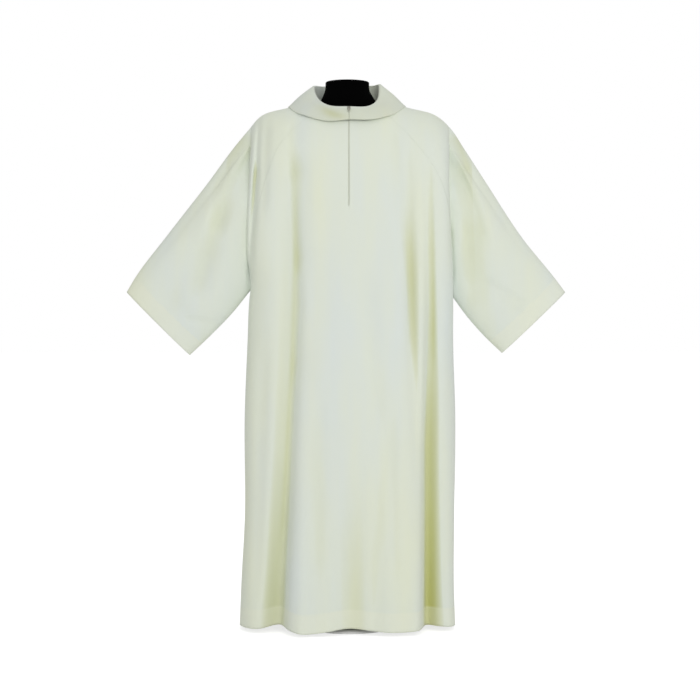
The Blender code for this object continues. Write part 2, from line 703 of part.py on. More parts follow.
def pull_tab(pivot, lean, metal):
    """A drop-shaped tab that hangs from its barrel. Its origin is on the barrel's axis."""
    bpy.ops.mesh.primitive_cylinder_add(radius=BARREL_RADIUS, depth=BARREL_LENGTH, vertices=12)
    barrel = bpy.context.object
    barrel.data.transform(Matrix.Rotation(math.pi / 2, 4, "Y"))
    turn = 2 * math.pi * np.arange(PULL_STEPS) / PULL_STEPS
    share = (1 - np.cos(turn)) / 2
    width = PULL_NECK + PULL_SWELL * smoothstep((share - 0.15) / 0.6) * np.sqrt(1 - share**6)
    sides = np.copysign(width, np.sin(turn))
    sides[[0, PULL_STEPS // 2]] = 0
    tab = bmesh.new()
    back, front = (
        [tab.verts.new((x, y, z)) for x, z in zip(sides, -PULL_LENGTH * share)]
        for y in (PULL_HALF_THICK, -PULL_HALF_THICK)
    )
    tab.faces.new(back)
    tab.faces.new(front[::-1])
    for step in range(PULL_STEPS):
        after = (step + 1) % PULL_STEPS
        tab.faces.new((back[step], back[after], front[after], front[step]))
    bmesh.ops.recalc_face_normals(tab, faces=tab.faces)
    mesh = bpy.data.meshes.new("zip_pull")
    tab.to_mesh(mesh)
    tab.free()
    pull = keep(bpy.data.objects.new("zip_pull", mesh), metal)
    pull.location = pivot
    pull.rotation_euler = (lean, 0, 0)
    barrel.name = "barrel"
    barrel.location = pivot
    barrel.rotation_euler = (lean, 0, 0)
    cutter(barrel)
    join(pull, barrel)


def cutter(obj):
    """Moves a tool object out of the robe's collection, and out of what is shown."""
    for collection in list(obj.users_collection):
        collection.objects.unlink(obj)
    bpy.data.collections["cutters"].objects.link(obj)
    obj.hide_render = True
    obj.display_type = "WIRE"


def join(obj, tool):
    union = obj.modifiers.new(tool.name, "BOOLEAN")
    union.operation = "UNION"
    union.object = tool


def oval_radius(half, depth, bearing):
    """Distance of an oval's edge from its middle, at a bearing from the depth's axis."""
    return 1 / np.sqrt((np.sin(bearing) / half) ** 2 + (np.cos(bearing) / depth) ** 2)


def shoulder_line():
    """The form's top edge from the neck outwards: the sleeve's top edge, moved in by the cloth and a clearance."""
    along = np.linspace(0, 0.2, 60)
    edge = edge_point(SLEEVE_TOP, RIGHT, along)
    slope = unit(np.gradient(edge, axis=0))
    near_neck = np.clip(1 - (edge[:, 0] - edge[0, 0]) / NECK_REACH, 0, 1)
    inwards = CLOTH + FORM_CLEARANCE + FORM_NECK_CLEARANCE * near_neck
    return edge[:, 0] + slope[:, 1] * inwards, edge[:, 1] - slope[:, 0] * inwards


def dress_form(material):
    """Torso and neck: level rings, each the smooth union of the neck's oval and the torso's.

    Over the armholes the torso's half width follows the shoulder line, just under the cloth that rests on it.
    """
    bearing = np.linspace(0, 2 * math.pi, FORM_STEPS, endpoint=False)
    line_x, line_z = shoulder_line()
    tip_height = float(np.interp(SHOULDER_TIP, line_x, line_z))
    trunk = np.linspace(TORSO_BOTTOM, ARMHOLE_HEIGHT, 11)
    cap = tip_height - SHOULDER_CAP * np.array((1.0, 0.6, 0.3, 0.1))
    ridge = np.interp(np.linspace(SHOULDER_TIP, line_x[0], 6), line_x, line_z)
    neck = np.array((line_z[0] + NECK_EDGE, *NECK_LEVELS, NECK_TOP - NECK_EDGE / 2, NECK_TOP))
    rings = []
    for z in np.concatenate([trunk, cap, ridge, neck]):
        if z <= ARMHOLE_HEIGHT:
            half, front, back = (float(TORSO.read(name, z)) for name in TORSO.names[1:])
        else:
            armhole_half = float(TORSO.read("half", ARMHOLE_HEIGHT))
            share = min((z - ARMHOLE_HEIGHT) / (tip_height - ARMHOLE_HEIGHT), 1)
            half = armhole_half - (armhole_half - SHOULDER_TIP) * share**3
            half = half if z <= tip_height else float(np.interp(-z, -line_z, line_x))
            drop = max(SHOULDER_HEIGHT - z, 0) / CHEST_ARCH
            rise = math.sqrt(1 - (1 - min(drop, 1)) ** 2)
            front, back = CHEST_DEEP * rise + FORM_CLEARANCE, BACK_DEEP * rise + FORM_CLEARANCE
        torso = oval_radius(half, np.where(np.cos(bearing) > 0, front, back), bearing)
        torso = torso if z < line_z[0] + FORM_CLEARANCE else np.zeros(FORM_STEPS)
        shrink = NECK_EDGE if z == NECK_TOP else 0.0
        oval = oval_radius(float(NECK.read("half", z)) - shrink, float(NECK.read("deep", z)) - shrink, bearing)
        oval = oval * (z > ARMHOLE_HEIGHT)
        radius = smooth_max(torso, oval, FORM_BLEND * np.abs(np.cos(bearing)) * (z < line_z[0]))
        rings.append(np.stack([radius * np.sin(bearing), -radius * np.cos(bearing), np.full(FORM_STEPS, z)], -1))
    count = len(rings)
    faces = []
    for ring in range(count - 1):
        for step in range(FORM_STEPS):
            after = (step + 1) % FORM_STEPS
            low, high = ring * FORM_STEPS, (ring + 1) * FORM_STEPS
            faces.append((low + step, low + after, high + after, high + step))
    faces.append(tuple(reversed(range(FORM_STEPS))))
    faces.append(tuple((count - 1) * FORM_STEPS + step for step in range(FORM_STEPS)))
    mesh_object("dress_form", np.concatenate(rings), faces, material)


def stand(material):
    """Pole and round foot under the form. The pole's ends are a seam gap from torso and foot.

    The foot's profile is given in shares of its radius and height, and turned.
    """
    bottom = FOOT_HEIGHT + SEAM_GAP
    top = TORSO_BOTTOM - SEAM_GAP
    bpy.ops.mesh.primitive_cylinder_add(
        radius=POLE_RADIUS, depth=top - bottom, vertices=20, location=(0, 0, (top + bottom) / 2))
    pole = bpy.context.object
    pole.name = "stand_pole"
    keep(pole, material)
    profile = [(0.0, FOOT_HEIGHT), *((FOOT_RADIUS * out, FOOT_HEIGHT * up) for out, up in FOOT_PROFILE), (0.0, 0.0)]
    mesh = bpy.data.meshes.new("stand_foot")
    mesh.from_pydata([(x, 0, z) for x, z in profile], [(i, i + 1) for i in range(len(profile) - 1)], [])
    foot = keep(bpy.data.objects.new("stand_foot", mesh), material)
    turn = foot.modifiers.new("turned", "SCREW")
    turn.steps = turn.render_steps = 36
    turn.use_merge_vertices = True
    turn.merge_threshold = 0.0001


def clear():
    for obj in list(bpy.data.objects):
        bpy.data.objects.remove(obj)
    for name in ("alb_robe", "cutters"):
        collection = bpy.data.collections.new(name)
        bpy.context.scene.collection.children.link(collection)


def main():
    clear()
    cloth = finish("ivory cloth", IVORY, 0.75)
    metal = finish("zip", ZIP_GREY, 0.45)
    black = finish("black jersey", BLACK, 0.85)
    enamel = finish("pale enamel", PALE, 0.35)
    centre, neck = body_and_sleeves(cloth)
    collar(neck, cloth)
    zip_parts(centre, neck, cloth, metal)
    dress_form(black)
    stand(enamel)


main()
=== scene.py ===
# %% [markdown]
# # An alb robe on a dress form
#
# An alb is a long white robe with wide sleeves. This one has raglan sleeves, a turned-down roll
# collar, a short zip and deep turned-up hems, and it hangs on a black dress form without limbs.
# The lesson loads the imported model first. It gives the size and place of every piece, and each
# piece of cloth then takes the place of its plainer solid.

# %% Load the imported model
import math

import bmesh
import bpy
import numpy as np
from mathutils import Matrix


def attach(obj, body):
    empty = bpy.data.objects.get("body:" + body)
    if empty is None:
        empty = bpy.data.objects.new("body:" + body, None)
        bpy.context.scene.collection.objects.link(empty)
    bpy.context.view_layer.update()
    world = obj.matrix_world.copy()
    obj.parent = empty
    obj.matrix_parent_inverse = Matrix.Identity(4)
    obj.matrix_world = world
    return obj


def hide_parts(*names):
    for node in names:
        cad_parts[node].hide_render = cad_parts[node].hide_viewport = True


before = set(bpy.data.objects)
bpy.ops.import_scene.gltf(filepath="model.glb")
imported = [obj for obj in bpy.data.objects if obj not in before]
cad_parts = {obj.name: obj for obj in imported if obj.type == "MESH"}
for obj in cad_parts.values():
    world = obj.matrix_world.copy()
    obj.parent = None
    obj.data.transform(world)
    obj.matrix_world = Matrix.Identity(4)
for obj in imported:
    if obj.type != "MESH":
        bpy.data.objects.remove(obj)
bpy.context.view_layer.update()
print("nodes:", ", ".join(sorted(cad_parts)))

# %% [markdown]
# ## Camera
#
# The photo was taken from far off with the lens level, a little over the middle of the robe.
# A long lens keeps the sleeves from leaning, so the camera stands 4.6 m away and 0.775 m high.

# %% Camera
CAMERA_PLACE = (0.003, -4.6, 0.775)
CAMERA_LENS = 84.5

camera = bpy.data.objects.new("camera", bpy.data.cameras.new("camera"))
camera.data.lens = CAMERA_LENS
camera.data.sensor_width = 36.0
camera.location = CAMERA_PLACE
camera.rotation_euler = (math.pi / 2, 0, 0)
bpy.context.scene.collection.objects.link(camera)
bpy.context.scene.camera = camera
print("camera at", CAMERA_PLACE)

# %% [markdown]
# ## Tables of the cut
#
# The whole robe is one master surface, cut along its seams. Short tables give its sections: how
# wide and deep the body is at each height, where the sleeve's edges run, and where the raglan
# seam lies. A cubic curve reads them smoothly between the rows. A cloth simulation could drape
# the same cut, but a table puts each edge exactly where the photo shows it.


# %% A table that is read between its rows
class Table:
    """Rows of named columns, read smoothly between the rows by their first column."""

    def __init__(self, columns, *rows):
        self.names = columns.split()
        self.values = dict(zip(self.names, np.array(rows, float).T))

    def read(self, column, place):
        """The column at `place`: a cubic through the rows, whose slope at a row is the mean one there."""
        key = self.values[self.names[0]]
        value = self.values[column]
        slope = np.gradient(value, key)
        place = np.clip(place, key[0], key[-1])
        row = np.clip(np.searchsorted(key, place, side="right") - 1, 0, len(key) - 2)
        step = key[row + 1] - key[row]
        t = (place - key[row]) / step
        start = (1 + 2 * t) * (1 - t) ** 2 * value[row] + t * (1 - t) ** 2 * step * slope[row]
        end = t * t * (3 - 2 * t) * value[row + 1] + t * t * (t - 1) * step * slope[row + 1]
        return start + end


# %% The sizes of the robe
SHOULDER_HEIGHT = 1.468
CHEST_ARCH = 0.160
BACK_ARCH = 0.100
FRONT_NECK_DROP = 0.036
BACK_NECK_DROP = 0.012
ZIP_END_HEIGHT = 1.165
HEM_DEPTH = 0.050
CUFF_DEPTH = 0.047
LEFT, RIGHT = -1, 1

# Half widths, depths and squareness of the body's level sections
BODY = Table(
    "height left  right left_square right_square front  back",
    (0.000, 0.305, 0.297, 2.6, 2.6, 0.168, 0.158),
    (0.130, 0.300, 0.293, 2.6, 2.6, 0.162, 0.153),
    (0.300, 0.291, 0.294, 2.6, 2.6, 0.156, 0.148),
    (0.600, 0.291, 0.297, 2.6, 2.6, 0.146, 0.138),
    (0.800, 0.283, 0.291, 2.7, 2.8, 0.139, 0.131),
    (0.923, 0.277, 0.2905, 3.0, 3.4, 0.134, 0.127),
    (0.943, 0.2745, 0.290, 3.1, 3.6, 0.133, 0.126),
    (1.040, 0.283, 0.286, 3.8, 5.5, 0.130, 0.122),
    (1.130, 0.283, 0.281, 4.2, 7.0, 0.128, 0.119),
    (1.250, 0.277, 0.277, 4.4, 7.0, 0.126, 0.116),
    (1.410, 0.273, 0.280, 4.4, 6.0, 0.125, 0.115),
    (1.470, 0.273, 0.280, 4.4, 6.0, 0.125, 0.115),
)
# The top edge of each sleeve: along the shoulder, round its corner and down to the cuff
SLEEVE_TOP = Table(
    "along left_x left_z right_x right_z",
    (0.00, 0.098, 1.468, 0.098, 1.468),
    (0.10, 0.173, 1.4513, 0.172, 1.4505),
    (0.20, 0.247, 1.428, 0.245, 1.429),
    (0.27, 0.283, 1.388, 0.285, 1.394),
    (0.35, 0.3225, 1.340, 0.319, 1.343),
    (0.50, 0.391, 1.247, 0.381, 1.247),
    (0.75, 0.509, 1.095, 0.486, 1.087),
    (0.95, 0.602, 0.971, 0.582, 0.968),
    (1.00, 0.6216, 0.9374, 0.605, 0.937),
)
# The bottom edge of each sleeve, from the underarm to the cuff
SLEEVE_BOTTOM = Table(
    "along left_x left_z right_x right_z",
    (0.00, 0.2745, 0.943, 0.2905, 0.923),
    (0.33, 0.326, 0.879, 0.332, 0.867),
    (0.67, 0.385, 0.818, 0.378, 0.815),
    (1.00, 0.445, 0.761, 0.428, 0.767),
)
# The raglan seam: down the neckline as far as 0.067, then to the underarm
RAGLAN_SEAM = Table(
    "down left_x left_z right_x right_z",
    (0.000, 0.098, 1.468, 0.098, 1.468),
    (0.067, 0.082, 1.448, 0.082, 1.448),
    (0.146, 0.118, 1.412, 0.118, 1.408),
    (0.250, 0.158, 1.374, 0.160, 1.366),
    (0.370, 0.194, 1.330, 0.203, 1.315),
    (0.500, 0.220, 1.268, 0.240, 1.262),
    (0.630, 0.240, 1.205, 0.266, 1.200),
    (0.750, 0.257, 1.135, 0.279, 1.130),
    (0.854, 0.268, 1.065, 0.284, 1.060),
    (0.933, 0.273, 1.000, 0.288, 0.995),
    (0.983, 0.2745, 0.958, 0.290, 0.945),
    (1.000, 0.2745, 0.943, 0.2905, 0.923),
)
# How deep the sleeve is, front or back, along its length
SLEEVE_DEPTH = Table(
    "along front back",
    (0.00, 0.052, 0.050),
    (0.30, 0.062, 0.058),
    (0.60, 0.057, 0.055),
    (1.00, 0.041, 0.040),
)
# The height of the hem over the floor, at each distance across
HEM = Table(
    "across front back",
    (-0.300, 0.012, 0.012),
    (-0.250, 0.012, 0.011),
    (-0.190, 0.019, 0.015),
    (-0.130, 0.008, 0.010),
    (0.000, 0.018, 0.013),
    (0.110, 0.010, 0.010),
    (0.190, 0.012, 0.013),
    (0.220, 0.014, 0.014),
    (0.300, 0.011, 0.011),
)
# The collar at each bearing round the neck, 0 at the front and positive to the right
COLLAR = Table(
    "bearing rim_out rim_up edge_out edge_up",
    (-180, 0.0970, 1.5270, 0.1160, 1.4410),
    (-135, 0.1000, 1.5240, 0.1400, 1.4420),
    (-90, 0.1010, 1.5100, 0.1700, 1.4535),
    (-60, 0.0980, 1.4700, 0.1620, 1.4270),
    (-35, 0.0980, 1.4490, 0.1310, 1.4040),
    (0, 0.1000, 1.4425, 0.1095, 1.4050),
    (35, 0.0970, 1.4475, 0.1300, 1.4080),
    (60, 0.0930, 1.4700, 0.1530, 1.4275),
    (90, 0.0885, 1.5140, 0.1590, 1.4545),
    (135, 0.0960, 1.5260, 0.1350, 1.4420),
    (180, 0.0970, 1.5270, 0.1160, 1.4410),
)
print("sleeves reach", SLEEVE_TOP.read("left_x", 1.0), "and", SLEEVE_TOP.read("right_x", 1.0), "m out")

# %% [markdown]
# ## Folds
#
# Hung cloth falls in long folds that start where something holds it and grow towards the hem.
# Each is a soft bell across a line that wanders down the robe. The left and right sides of the
# bell have widths of their own, because a fold often has one sharp side. Lesser folds and drag
# lines are straight strokes that fade at both ends. They could be sculpted as well, but in a
# table each keeps its place and depth in one line.

# %% Folds of the body and strokes on it
FOLD_COLUMNS = "at_1300 at_900 at_500 at_0 starts deep_1000 deep_500 deep_0 wide_low wide_high".split()
FOLDS = {
    "front": {
        "left valley": (-0.157, -0.144, -0.165, -0.190, 1.36, 0.018, 0.032, 0.074, 0.046, 0.018),
        "right valley": (0.216, 0.222, 0.214, 0.213, 1.28, 0.014, 0.050, 0.088, 0.014, 0.030),
        "right branch": (0.160, 0.170, 0.188, 0.190, 1.28, 0.014, 0.011, 0.000, 0.018, 0.018),
        "right gore": (0.262, 0.262, 0.258, 0.256, 0.70, 0.000, 0.012, 0.035, 0.030, 0.030),
        "middle trough": (0.000, 0.000, 0.004, 0.010, 0.55, 0.000, 0.004, 0.031, 0.048, 0.052),
        "left lobe": (-0.130, -0.120, -0.124, -0.132, 0.70, 0.000, -0.004, -0.014, 0.024, 0.028),
        "right trough": (0.080, 0.080, 0.084, 0.074, 0.78, 0.000, 0.007, 0.008, 0.020, 0.026),
    },
    "back": {
        "left valley": (-0.160, -0.158, -0.175, -0.196, 1.25, 0.014, 0.030, 0.050, 0.036, 0.024),
        "left trough": (-0.060, -0.058, -0.062, -0.070, 1.05, 0.003, 0.012, 0.022, 0.030, 0.034),
        "right trough": (0.046, 0.050, 0.052, 0.060, 1.00, 0.003, 0.010, 0.024, 0.034, 0.028),
        "right valley": (0.165, 0.160, 0.172, 0.188, 1.22, 0.012, 0.030, 0.052, 0.022, 0.036),
    },
}
# Straight troughs as lines seen from the front: start, end, half width to the left and right, depth
STROKE_COLUMNS = "x0 z0 x1 z1 wide_left wide_right deep".split()
SLEEVE_STROKES = {
    "front": (
        (-0.288, 1.368, -0.378, 1.205, 0.030, 0.013, 0.009),
        (-0.322, 1.262, -0.362, 1.110, 0.016, 0.024, 0.006),
        (-0.345, 1.180, -0.420, 0.930, 0.032, 0.024, 0.013),
        (-0.400, 1.080, -0.505, 0.900, 0.050, 0.050, 0.010),
        (-0.455, 0.862, -0.352, 0.848, 0.012, 0.016, 0.006),
        (0.296, 1.372, 0.326, 1.270, 0.012, 0.018, 0.008),
        (0.322, 1.290, 0.372, 1.080, 0.018, 0.040, 0.009),
        (0.330, 1.130, 0.352, 0.900, 0.034, 0.026, 0.012),
        (0.372, 0.965, 0.480, 0.905, 0.014, 0.030, 0.006),
    ),
    "back": (
        (-0.300, 1.330, -0.400, 1.050, 0.026, 0.020, 0.011),
        (-0.330, 1.050, -0.420, 0.860, 0.028, 0.022, 0.010),
        (0.300, 1.330, 0.395, 1.050, 0.020, 0.026, 0.011),
        (0.360, 1.060, 0.410, 0.850, 0.024, 0.022, 0.009),
    ),
}
# Lesser folds of the body, and the sharp side of its left valley
BODY_STROKES = {
    "front": (
        (-0.155, 1.400, -0.152, 1.240, 0.026, 0.016, 0.006),
        (-0.230, 1.400, -0.238, 1.160, 0.016, 0.062, 0.013),
        (-0.149, 1.300, -0.141, 1.000, 0.040, 0.009, 0.013),
        (-0.143, 1.030, -0.152, 0.700, 0.050, 0.009, 0.007),
        (-0.152, 0.730, -0.180, 0.240, 0.040, 0.009, 0.006),
        (0.118, 1.400, 0.150, 1.050, 0.020, 0.034, 0.004),
        (0.168, 1.330, 0.171, 0.760, 0.012, 0.014, 0.004),
        (0.222, 1.310, 0.229, 0.760, 0.009, 0.014, 0.006),
        (-0.060, 1.180, -0.075, 0.800, 0.036, 0.046, 0.003),
        (0.055, 0.980, 0.070, 0.560, 0.034, 0.040, 0.004),
        (-0.080, 0.640, -0.086, 0.160, 0.020, 0.024, 0.004),
        (0.118, 0.600, 0.126, 0.120, 0.016, 0.022, 0.004),
        (-0.236, 0.760, -0.256, 0.100, 0.020, 0.022, 0.010),
    ),
    "back": (
        (-0.110, 1.330, -0.140, 1.080, 0.024, 0.018, 0.006),
        (0.105, 1.320, 0.140, 1.060, 0.018, 0.024, 0.006),
        (0.000, 0.820, 0.004, 0.330, 0.030, 0.026, 0.006),
        (-0.118, 0.700, -0.124, 0.200, 0.018, 0.022, 0.006),
        (0.112, 0.640, 0.120, 0.180, 0.020, 0.018, 0.006),
    ),
}
# The tucks where the sleeve's root falls behind the body
TUCKS = {
    "front": (
        (-0.250, 1.430, -0.256, 1.250, 0.008, 0.007, 0.010),
        (-0.257, 1.270, -0.277, 0.960, 0.011, 0.008, 0.022),
        (0.282, 1.120, 0.291, 0.960, 0.005, 0.008, 0.008),
    ),
    "back": (
        (-0.262, 1.360, -0.270, 1.060, 0.014, 0.009, 0.012),
        (0.266, 1.360, 0.276, 1.060, 0.009, 0.014, 0.012),
    ),
}


# %% Soft steps and blends
def side_name(side):
    return "left" if side == LEFT else "right"


def smoothstep(value):
    """Rises from 0 to 1 with no corner at either end: 3t^2 - 2t^3."""
    value = np.clip(value, 0, 1)
    return value * value * (3 - 2 * value)


def smooth_max(a, b, blend):
    """The larger of a and b, rounded where they cross: (a + b + root of ((a - b)^2 + blend^2)) / 2."""
    return 0.5 * (a + b + np.sqrt((a - b) ** 2 + blend**2))


def unit(vectors):
    """Vectors divided by their own length."""
    return vectors / np.maximum(np.linalg.norm(vectors, axis=-1, keepdims=True), 1e-9)


# %% How far folds and strokes push the cloth in
EDGE_READINGS = 80
STROKE_FADE = 0.3
LINE_HEIGHTS = (0, 0.5, 0.9, 1.3)
DEPTH_HEIGHTS = (0, 0.5, 1.0)
FOLD_GROWTH = 0.35
FLAT_AT_SIDE = 8


def shoulder_height(x):
    """Height of the shoulder and sleeve's top edge at x, read along the table of that edge."""
    along = np.linspace(0, 1, EDGE_READINGS)
    heights = [
        np.interp(abs(x), SLEEVE_TOP.read(f"{name}_x", along), SLEEVE_TOP.read(f"{name}_z", along))
        for name in ("left", "right")
    ]
    return np.where(x < 0, heights[0], heights[1])


def body_half_width(x, z):
    """Half the body's width at height z, on the side where x lies."""
    return np.where(x < 0, BODY.read("left", z), BODY.read("right", z))


def stroke_depth(strokes, x, z):
    """Sum of troughs: depth times a bell across a straight line, faded in and out along it."""
    total = np.zeros(np.broadcast(x, z).shape)
    for stroke in strokes:
        s = dict(zip(STROKE_COLUMNS, stroke))
        run = np.array((s["x1"] - s["x0"], s["z1"] - s["z0"]))
        length = np.hypot(*run)
        run = run / length
        along = ((x - s["x0"]) * run[0] + (z - s["z0"]) * run[1]) / length
        off = (x - s["x0"]) * run[1] - (z - s["z0"]) * run[0]
        off = off * np.sign(-run[1])
        fade = smoothstep(along / STROKE_FADE + 0.5) * smoothstep((1 - along) / STROKE_FADE + 0.5)
        wide = np.where(off > 0, s["wide_right"], s["wide_left"])
        total += s["deep"] * fade * np.exp(-((off / wide) ** 2))
    return total


def fold_depth(face, x, z):
    """Sum of a face's folds: depth times a bell across the fold's line, grown from where it starts."""
    total = np.zeros(np.broadcast(x, z).shape)
    for fold in FOLDS[face].values():
        f = dict(zip(FOLD_COLUMNS, fold))
        centre = np.interp(z, LINE_HEIGHTS, (f["at_0"], f["at_500"], f["at_900"], f["at_1300"]))
        reach = smoothstep((f["starts"] - z) / FOLD_GROWTH)
        deep = np.interp(z, DEPTH_HEIGHTS, (f["deep_0"], f["deep_500"], f["deep_1000"]))
        wide = np.where(x < centre, f["wide_low"], f["wide_high"])
        total += reach * deep * np.exp(-(((x - centre) / wide) ** 2))
    total += stroke_depth(BODY_STROKES[face], x, z)
    return total * (1 - np.clip(np.abs(x) / body_half_width(x, z), 0, 1) ** FLAT_AT_SIDE)


hem_folds = fold_depth("front", np.linspace(-0.3, 0.3, 200), 0.02)
print("deepest fold at the hem:", round(float(hem_folds.max()), 3), "m")


# %% [markdown]
# ## The master surface
#
# The depth of the cloth off the robe's middle plane is a function of where one looks at it from
# the front. The body is a squared oval that arches up to the shoulders. The sleeve is a flattened
# tube. Two shells joined by a boolean would meet in a hard line. A rounded maximum of the two
# depths makes the sleeve grow out of the body with no visible joint, as cloth does.


# %% Depth of the cloth
JOIN_START, JOIN_REACH = 0.30, 0.35
GROWN_ALONG = 0.40
STROKES_ALONG = 0.15
ROUNDNESS = 0.8
JOIN_BLEND = 0.016


def body_depth(face, x, z):
    """Squared oval across, |x/half|^n + |y/depth|^n = 1, times a circle's quarter up to the shoulder."""
    half = body_half_width(x, z)
    square = np.where(x < 0, BODY.read("left_square", z), BODY.read("right_square", z))
    across = (1 - np.clip(np.abs(x) / half, 0, 1) ** square) ** (1 / square)
    arch = CHEST_ARCH if face == "front" else BACK_ARCH
    drop = np.clip((shoulder_height(x) - z) / arch, 0, 1)
    rise = np.sqrt(1 - (1 - drop) ** 2)
    return np.clip(BODY.read(face, z) * across * rise - fold_depth(face, x, z), 0, None)


def ring_part(down):
    """How far a point stands out on a half ring, 0 at its ends and 1 in its middle: the sine of the
    angle whose cosine is 1 - 2 times its share of the way down."""
    return np.sin(np.arccos(1 - 2 * np.clip(down, 0, 1)))


def cloth_depth(face, x, z, down, along):
    """Rounded maximum of body and sleeve. The sleeve takes over below the raglan seam's upper part."""
    ring = ring_part(down)
    join = smoothstep((down - JOIN_START) / JOIN_REACH)
    grown = join + (1 - join) * smoothstep(along / GROWN_ALONG)
    sleeve = SLEEVE_DEPTH.read(face, along) * ring**ROUNDNESS * grown
    sleeve = sleeve - stroke_depth(SLEEVE_STROKES[face], x, z) * ring * smoothstep(along / STROKES_ALONG)
    whole = smooth_max(body_depth(face, x, z), sleeve, JOIN_BLEND * ring)
    return whole - stroke_depth(TUCKS[face], x, z) * ring


print("cloth before the chest's middle:", round(float(body_depth("front", 0.0, 1.2)), 3), "m")


# %% [markdown]
# Cloth inside a fold sees less of the sky, and the light that reaches it has bounced off ivory
# cloth a few times, which turns it yellow. How sheltered a point lies is worked out here from the
# surface itself: the steepest rise of the cloth within a few centimetres to its left, and the same
# to its right. The root of the product of both is large only where walls stand on both sides. This
# measure paints shade into the cloth's colour, darker and yellow. A renderer works out the dark part
# of such shade by itself, but it loses much of the colour.


# %% How sheltered the cloth lies
SHELTER_REACH = (0.005, 0.010, 0.018, 0.030, 0.046, 0.066)
SHELTER_POWER = 1.4


def shelter(face, x, z, depth, strokes):
    """Root of the product over both sides of p / (1 + p), where p is a power of the steepest near slope."""
    product = np.ones(depth.shape)
    own = stroke_depth(strokes, x, z)
    for side in (LEFT, RIGHT):
        steepest = np.zeros(depth.shape)
        for reach in SHELTER_REACH:
            beside = x + side * reach
            body = body_depth(face, beside, z) - stroke_depth(TUCKS[face], beside, z) - depth
            trough = own - stroke_depth(strokes, beside, z)
            steepest = np.maximum(steepest, np.maximum(body, trough) / reach)
        power = steepest**SHELTER_POWER
        product *= power / (1 + power)
    return np.sqrt(product)


print("slopes are measured over", [round(reach * 1000) for reach in SHELTER_REACH], "mm")


# %% Edges of the sleeve
def ring_places(steps):
    """How far down the raglan seam each point of a half ring lies, (1 - cos) / 2, so that they stand
    close together at both ends."""
    return (1 - np.cos(np.linspace(0, math.pi, steps + 1))) / 2


def edge_point(table, side, place):
    """Point of an edge as x and z: the table's columns for that side, with x turned to the side."""
    name = side_name(side)
    return np.stack([side * table.read(f"{name}_x", place), table.read(f"{name}_z", place)], -1)


print("left cuff from", edge_point(SLEEVE_TOP, LEFT, 1.0), "to", edge_point(SLEEVE_BOTTOM, LEFT, 1.0))


# %% [markdown]
# Seen from the front, a sleeve is a patch between four edges: seam, top, bottom and cuff. A Coons
# patch fills it. It adds the two straight blends between opposite edges and takes away the blend
# of the four corners, which both have counted. All four edges then come out exactly as drawn.


# %% The sleeve, seen from the front
def flat_sleeve(side, down, along):
    """Coons patch between raglan seam, top edge, cuff and bottom edge, as x and z."""
    places = (along, 0.0, 1.0)
    top, top_root, top_cuff = (edge_point(SLEEVE_TOP, side, place) for place in places)
    bottom, bottom_root, bottom_cuff = (edge_point(SLEEVE_BOTTOM, side, place) for place in places)
    seam = edge_point(RAGLAN_SEAM, side, down)
    down, along = down[..., None], along[..., None]
    cuff = (1 - down) * top_cuff + down * bottom_cuff
    corners = (1 - down) * ((1 - along) * top_root + along * top_cuff)
    corners = corners + down * ((1 - along) * bottom_root + along * bottom_cuff)
    flat = (1 - down) * top + down * bottom + (1 - along) * seam + along * cuff - corners
    return flat[..., 0], flat[..., 1]


# %% [markdown]
# The body's side falls away steeply beside the sleeve's root. A grid that crosses such a wall on a
# slant cuts steps into it, so the sleeve's rows are gathered along the wall: in each column one row
# lies where the column leaves the body, and the rows next to it stand close.


# %% Half a sleeve
ROWS_BEFORE_SIDE = 0.34
LEAST_ROOT = 0.012
GATHERING = 1.6
CROSSING_TRIES = 400


def side_crossing(side, down):
    """How far along the sleeve each column leaves the body's half width, read from a fine try."""
    along = np.linspace(0, 1, CROSSING_TRIES)[:, None] + 0 * down
    x, z = flat_sleeve(side, down + 0 * along, along)
    over = np.abs(x) - body_half_width(x, z)
    row = np.maximum((over > 0).argmax(0), 1)
    column = np.arange(down.shape[1])
    before, after = over[row - 1, column], over[row, column]
    step = np.clip(before / (before - after), 0, 1)
    return np.maximum((row - 1 + step) / (CROSSING_TRIES - 1), LEAST_ROOT)[None]


def sleeve_face(side, face, ring_steps, rows):
    """The flat sleeve pushed out by the cloth's depth. Its rows are shares of the way from seam to
    cuff, bent by a power on both sides of the crossing."""
    down = ring_places(ring_steps)[None]
    crossing = side_crossing(side, down)
    share = np.linspace(0, 1, rows)[:, None]
    before = 1 - (1 - np.clip(share / ROWS_BEFORE_SIDE, 0, 1)) ** GATHERING
    after = np.clip((share - ROWS_BEFORE_SIDE) / (1 - ROWS_BEFORE_SIDE), 0, 1) ** GATHERING
    along = crossing * before + (1 - crossing) * after
    down = down + 0 * along
    x, z = flat_sleeve(side, down, along)
    depth = cloth_depth(face, x, z, down, along)
    depth[:, 0] = 0
    depth[:, -1] = 0
    return np.stack([x, -depth if face == "front" else depth, z], -1)


print("half a sleeve of", sleeve_face(LEFT, "front", 12, 20).shape[:2], "points in a rough try")

# %% [markdown]
# Front and back lie between the seams of both sides. Each row of points runs straight from the
# left seam to the right one, as a weft thread does, and the neckline and the hem then bend the
# rows next to them. A grid with such rows needs no trimming at its edges.

# %% A panel between two seams
NECK_SHARE = 1 / 6
NECK_DIP = ((0.067, 0.146, 0.25, 0.371), (1, 0.45, 0.12, 0))
DIP_POWER = 1.2
SETTLING = 0.75
HEM_BLEND = 0.4
HEM_END = 0.300
ZIP_SLOT = 0.0012
ROUGH_TRY = (24, 40, 20)


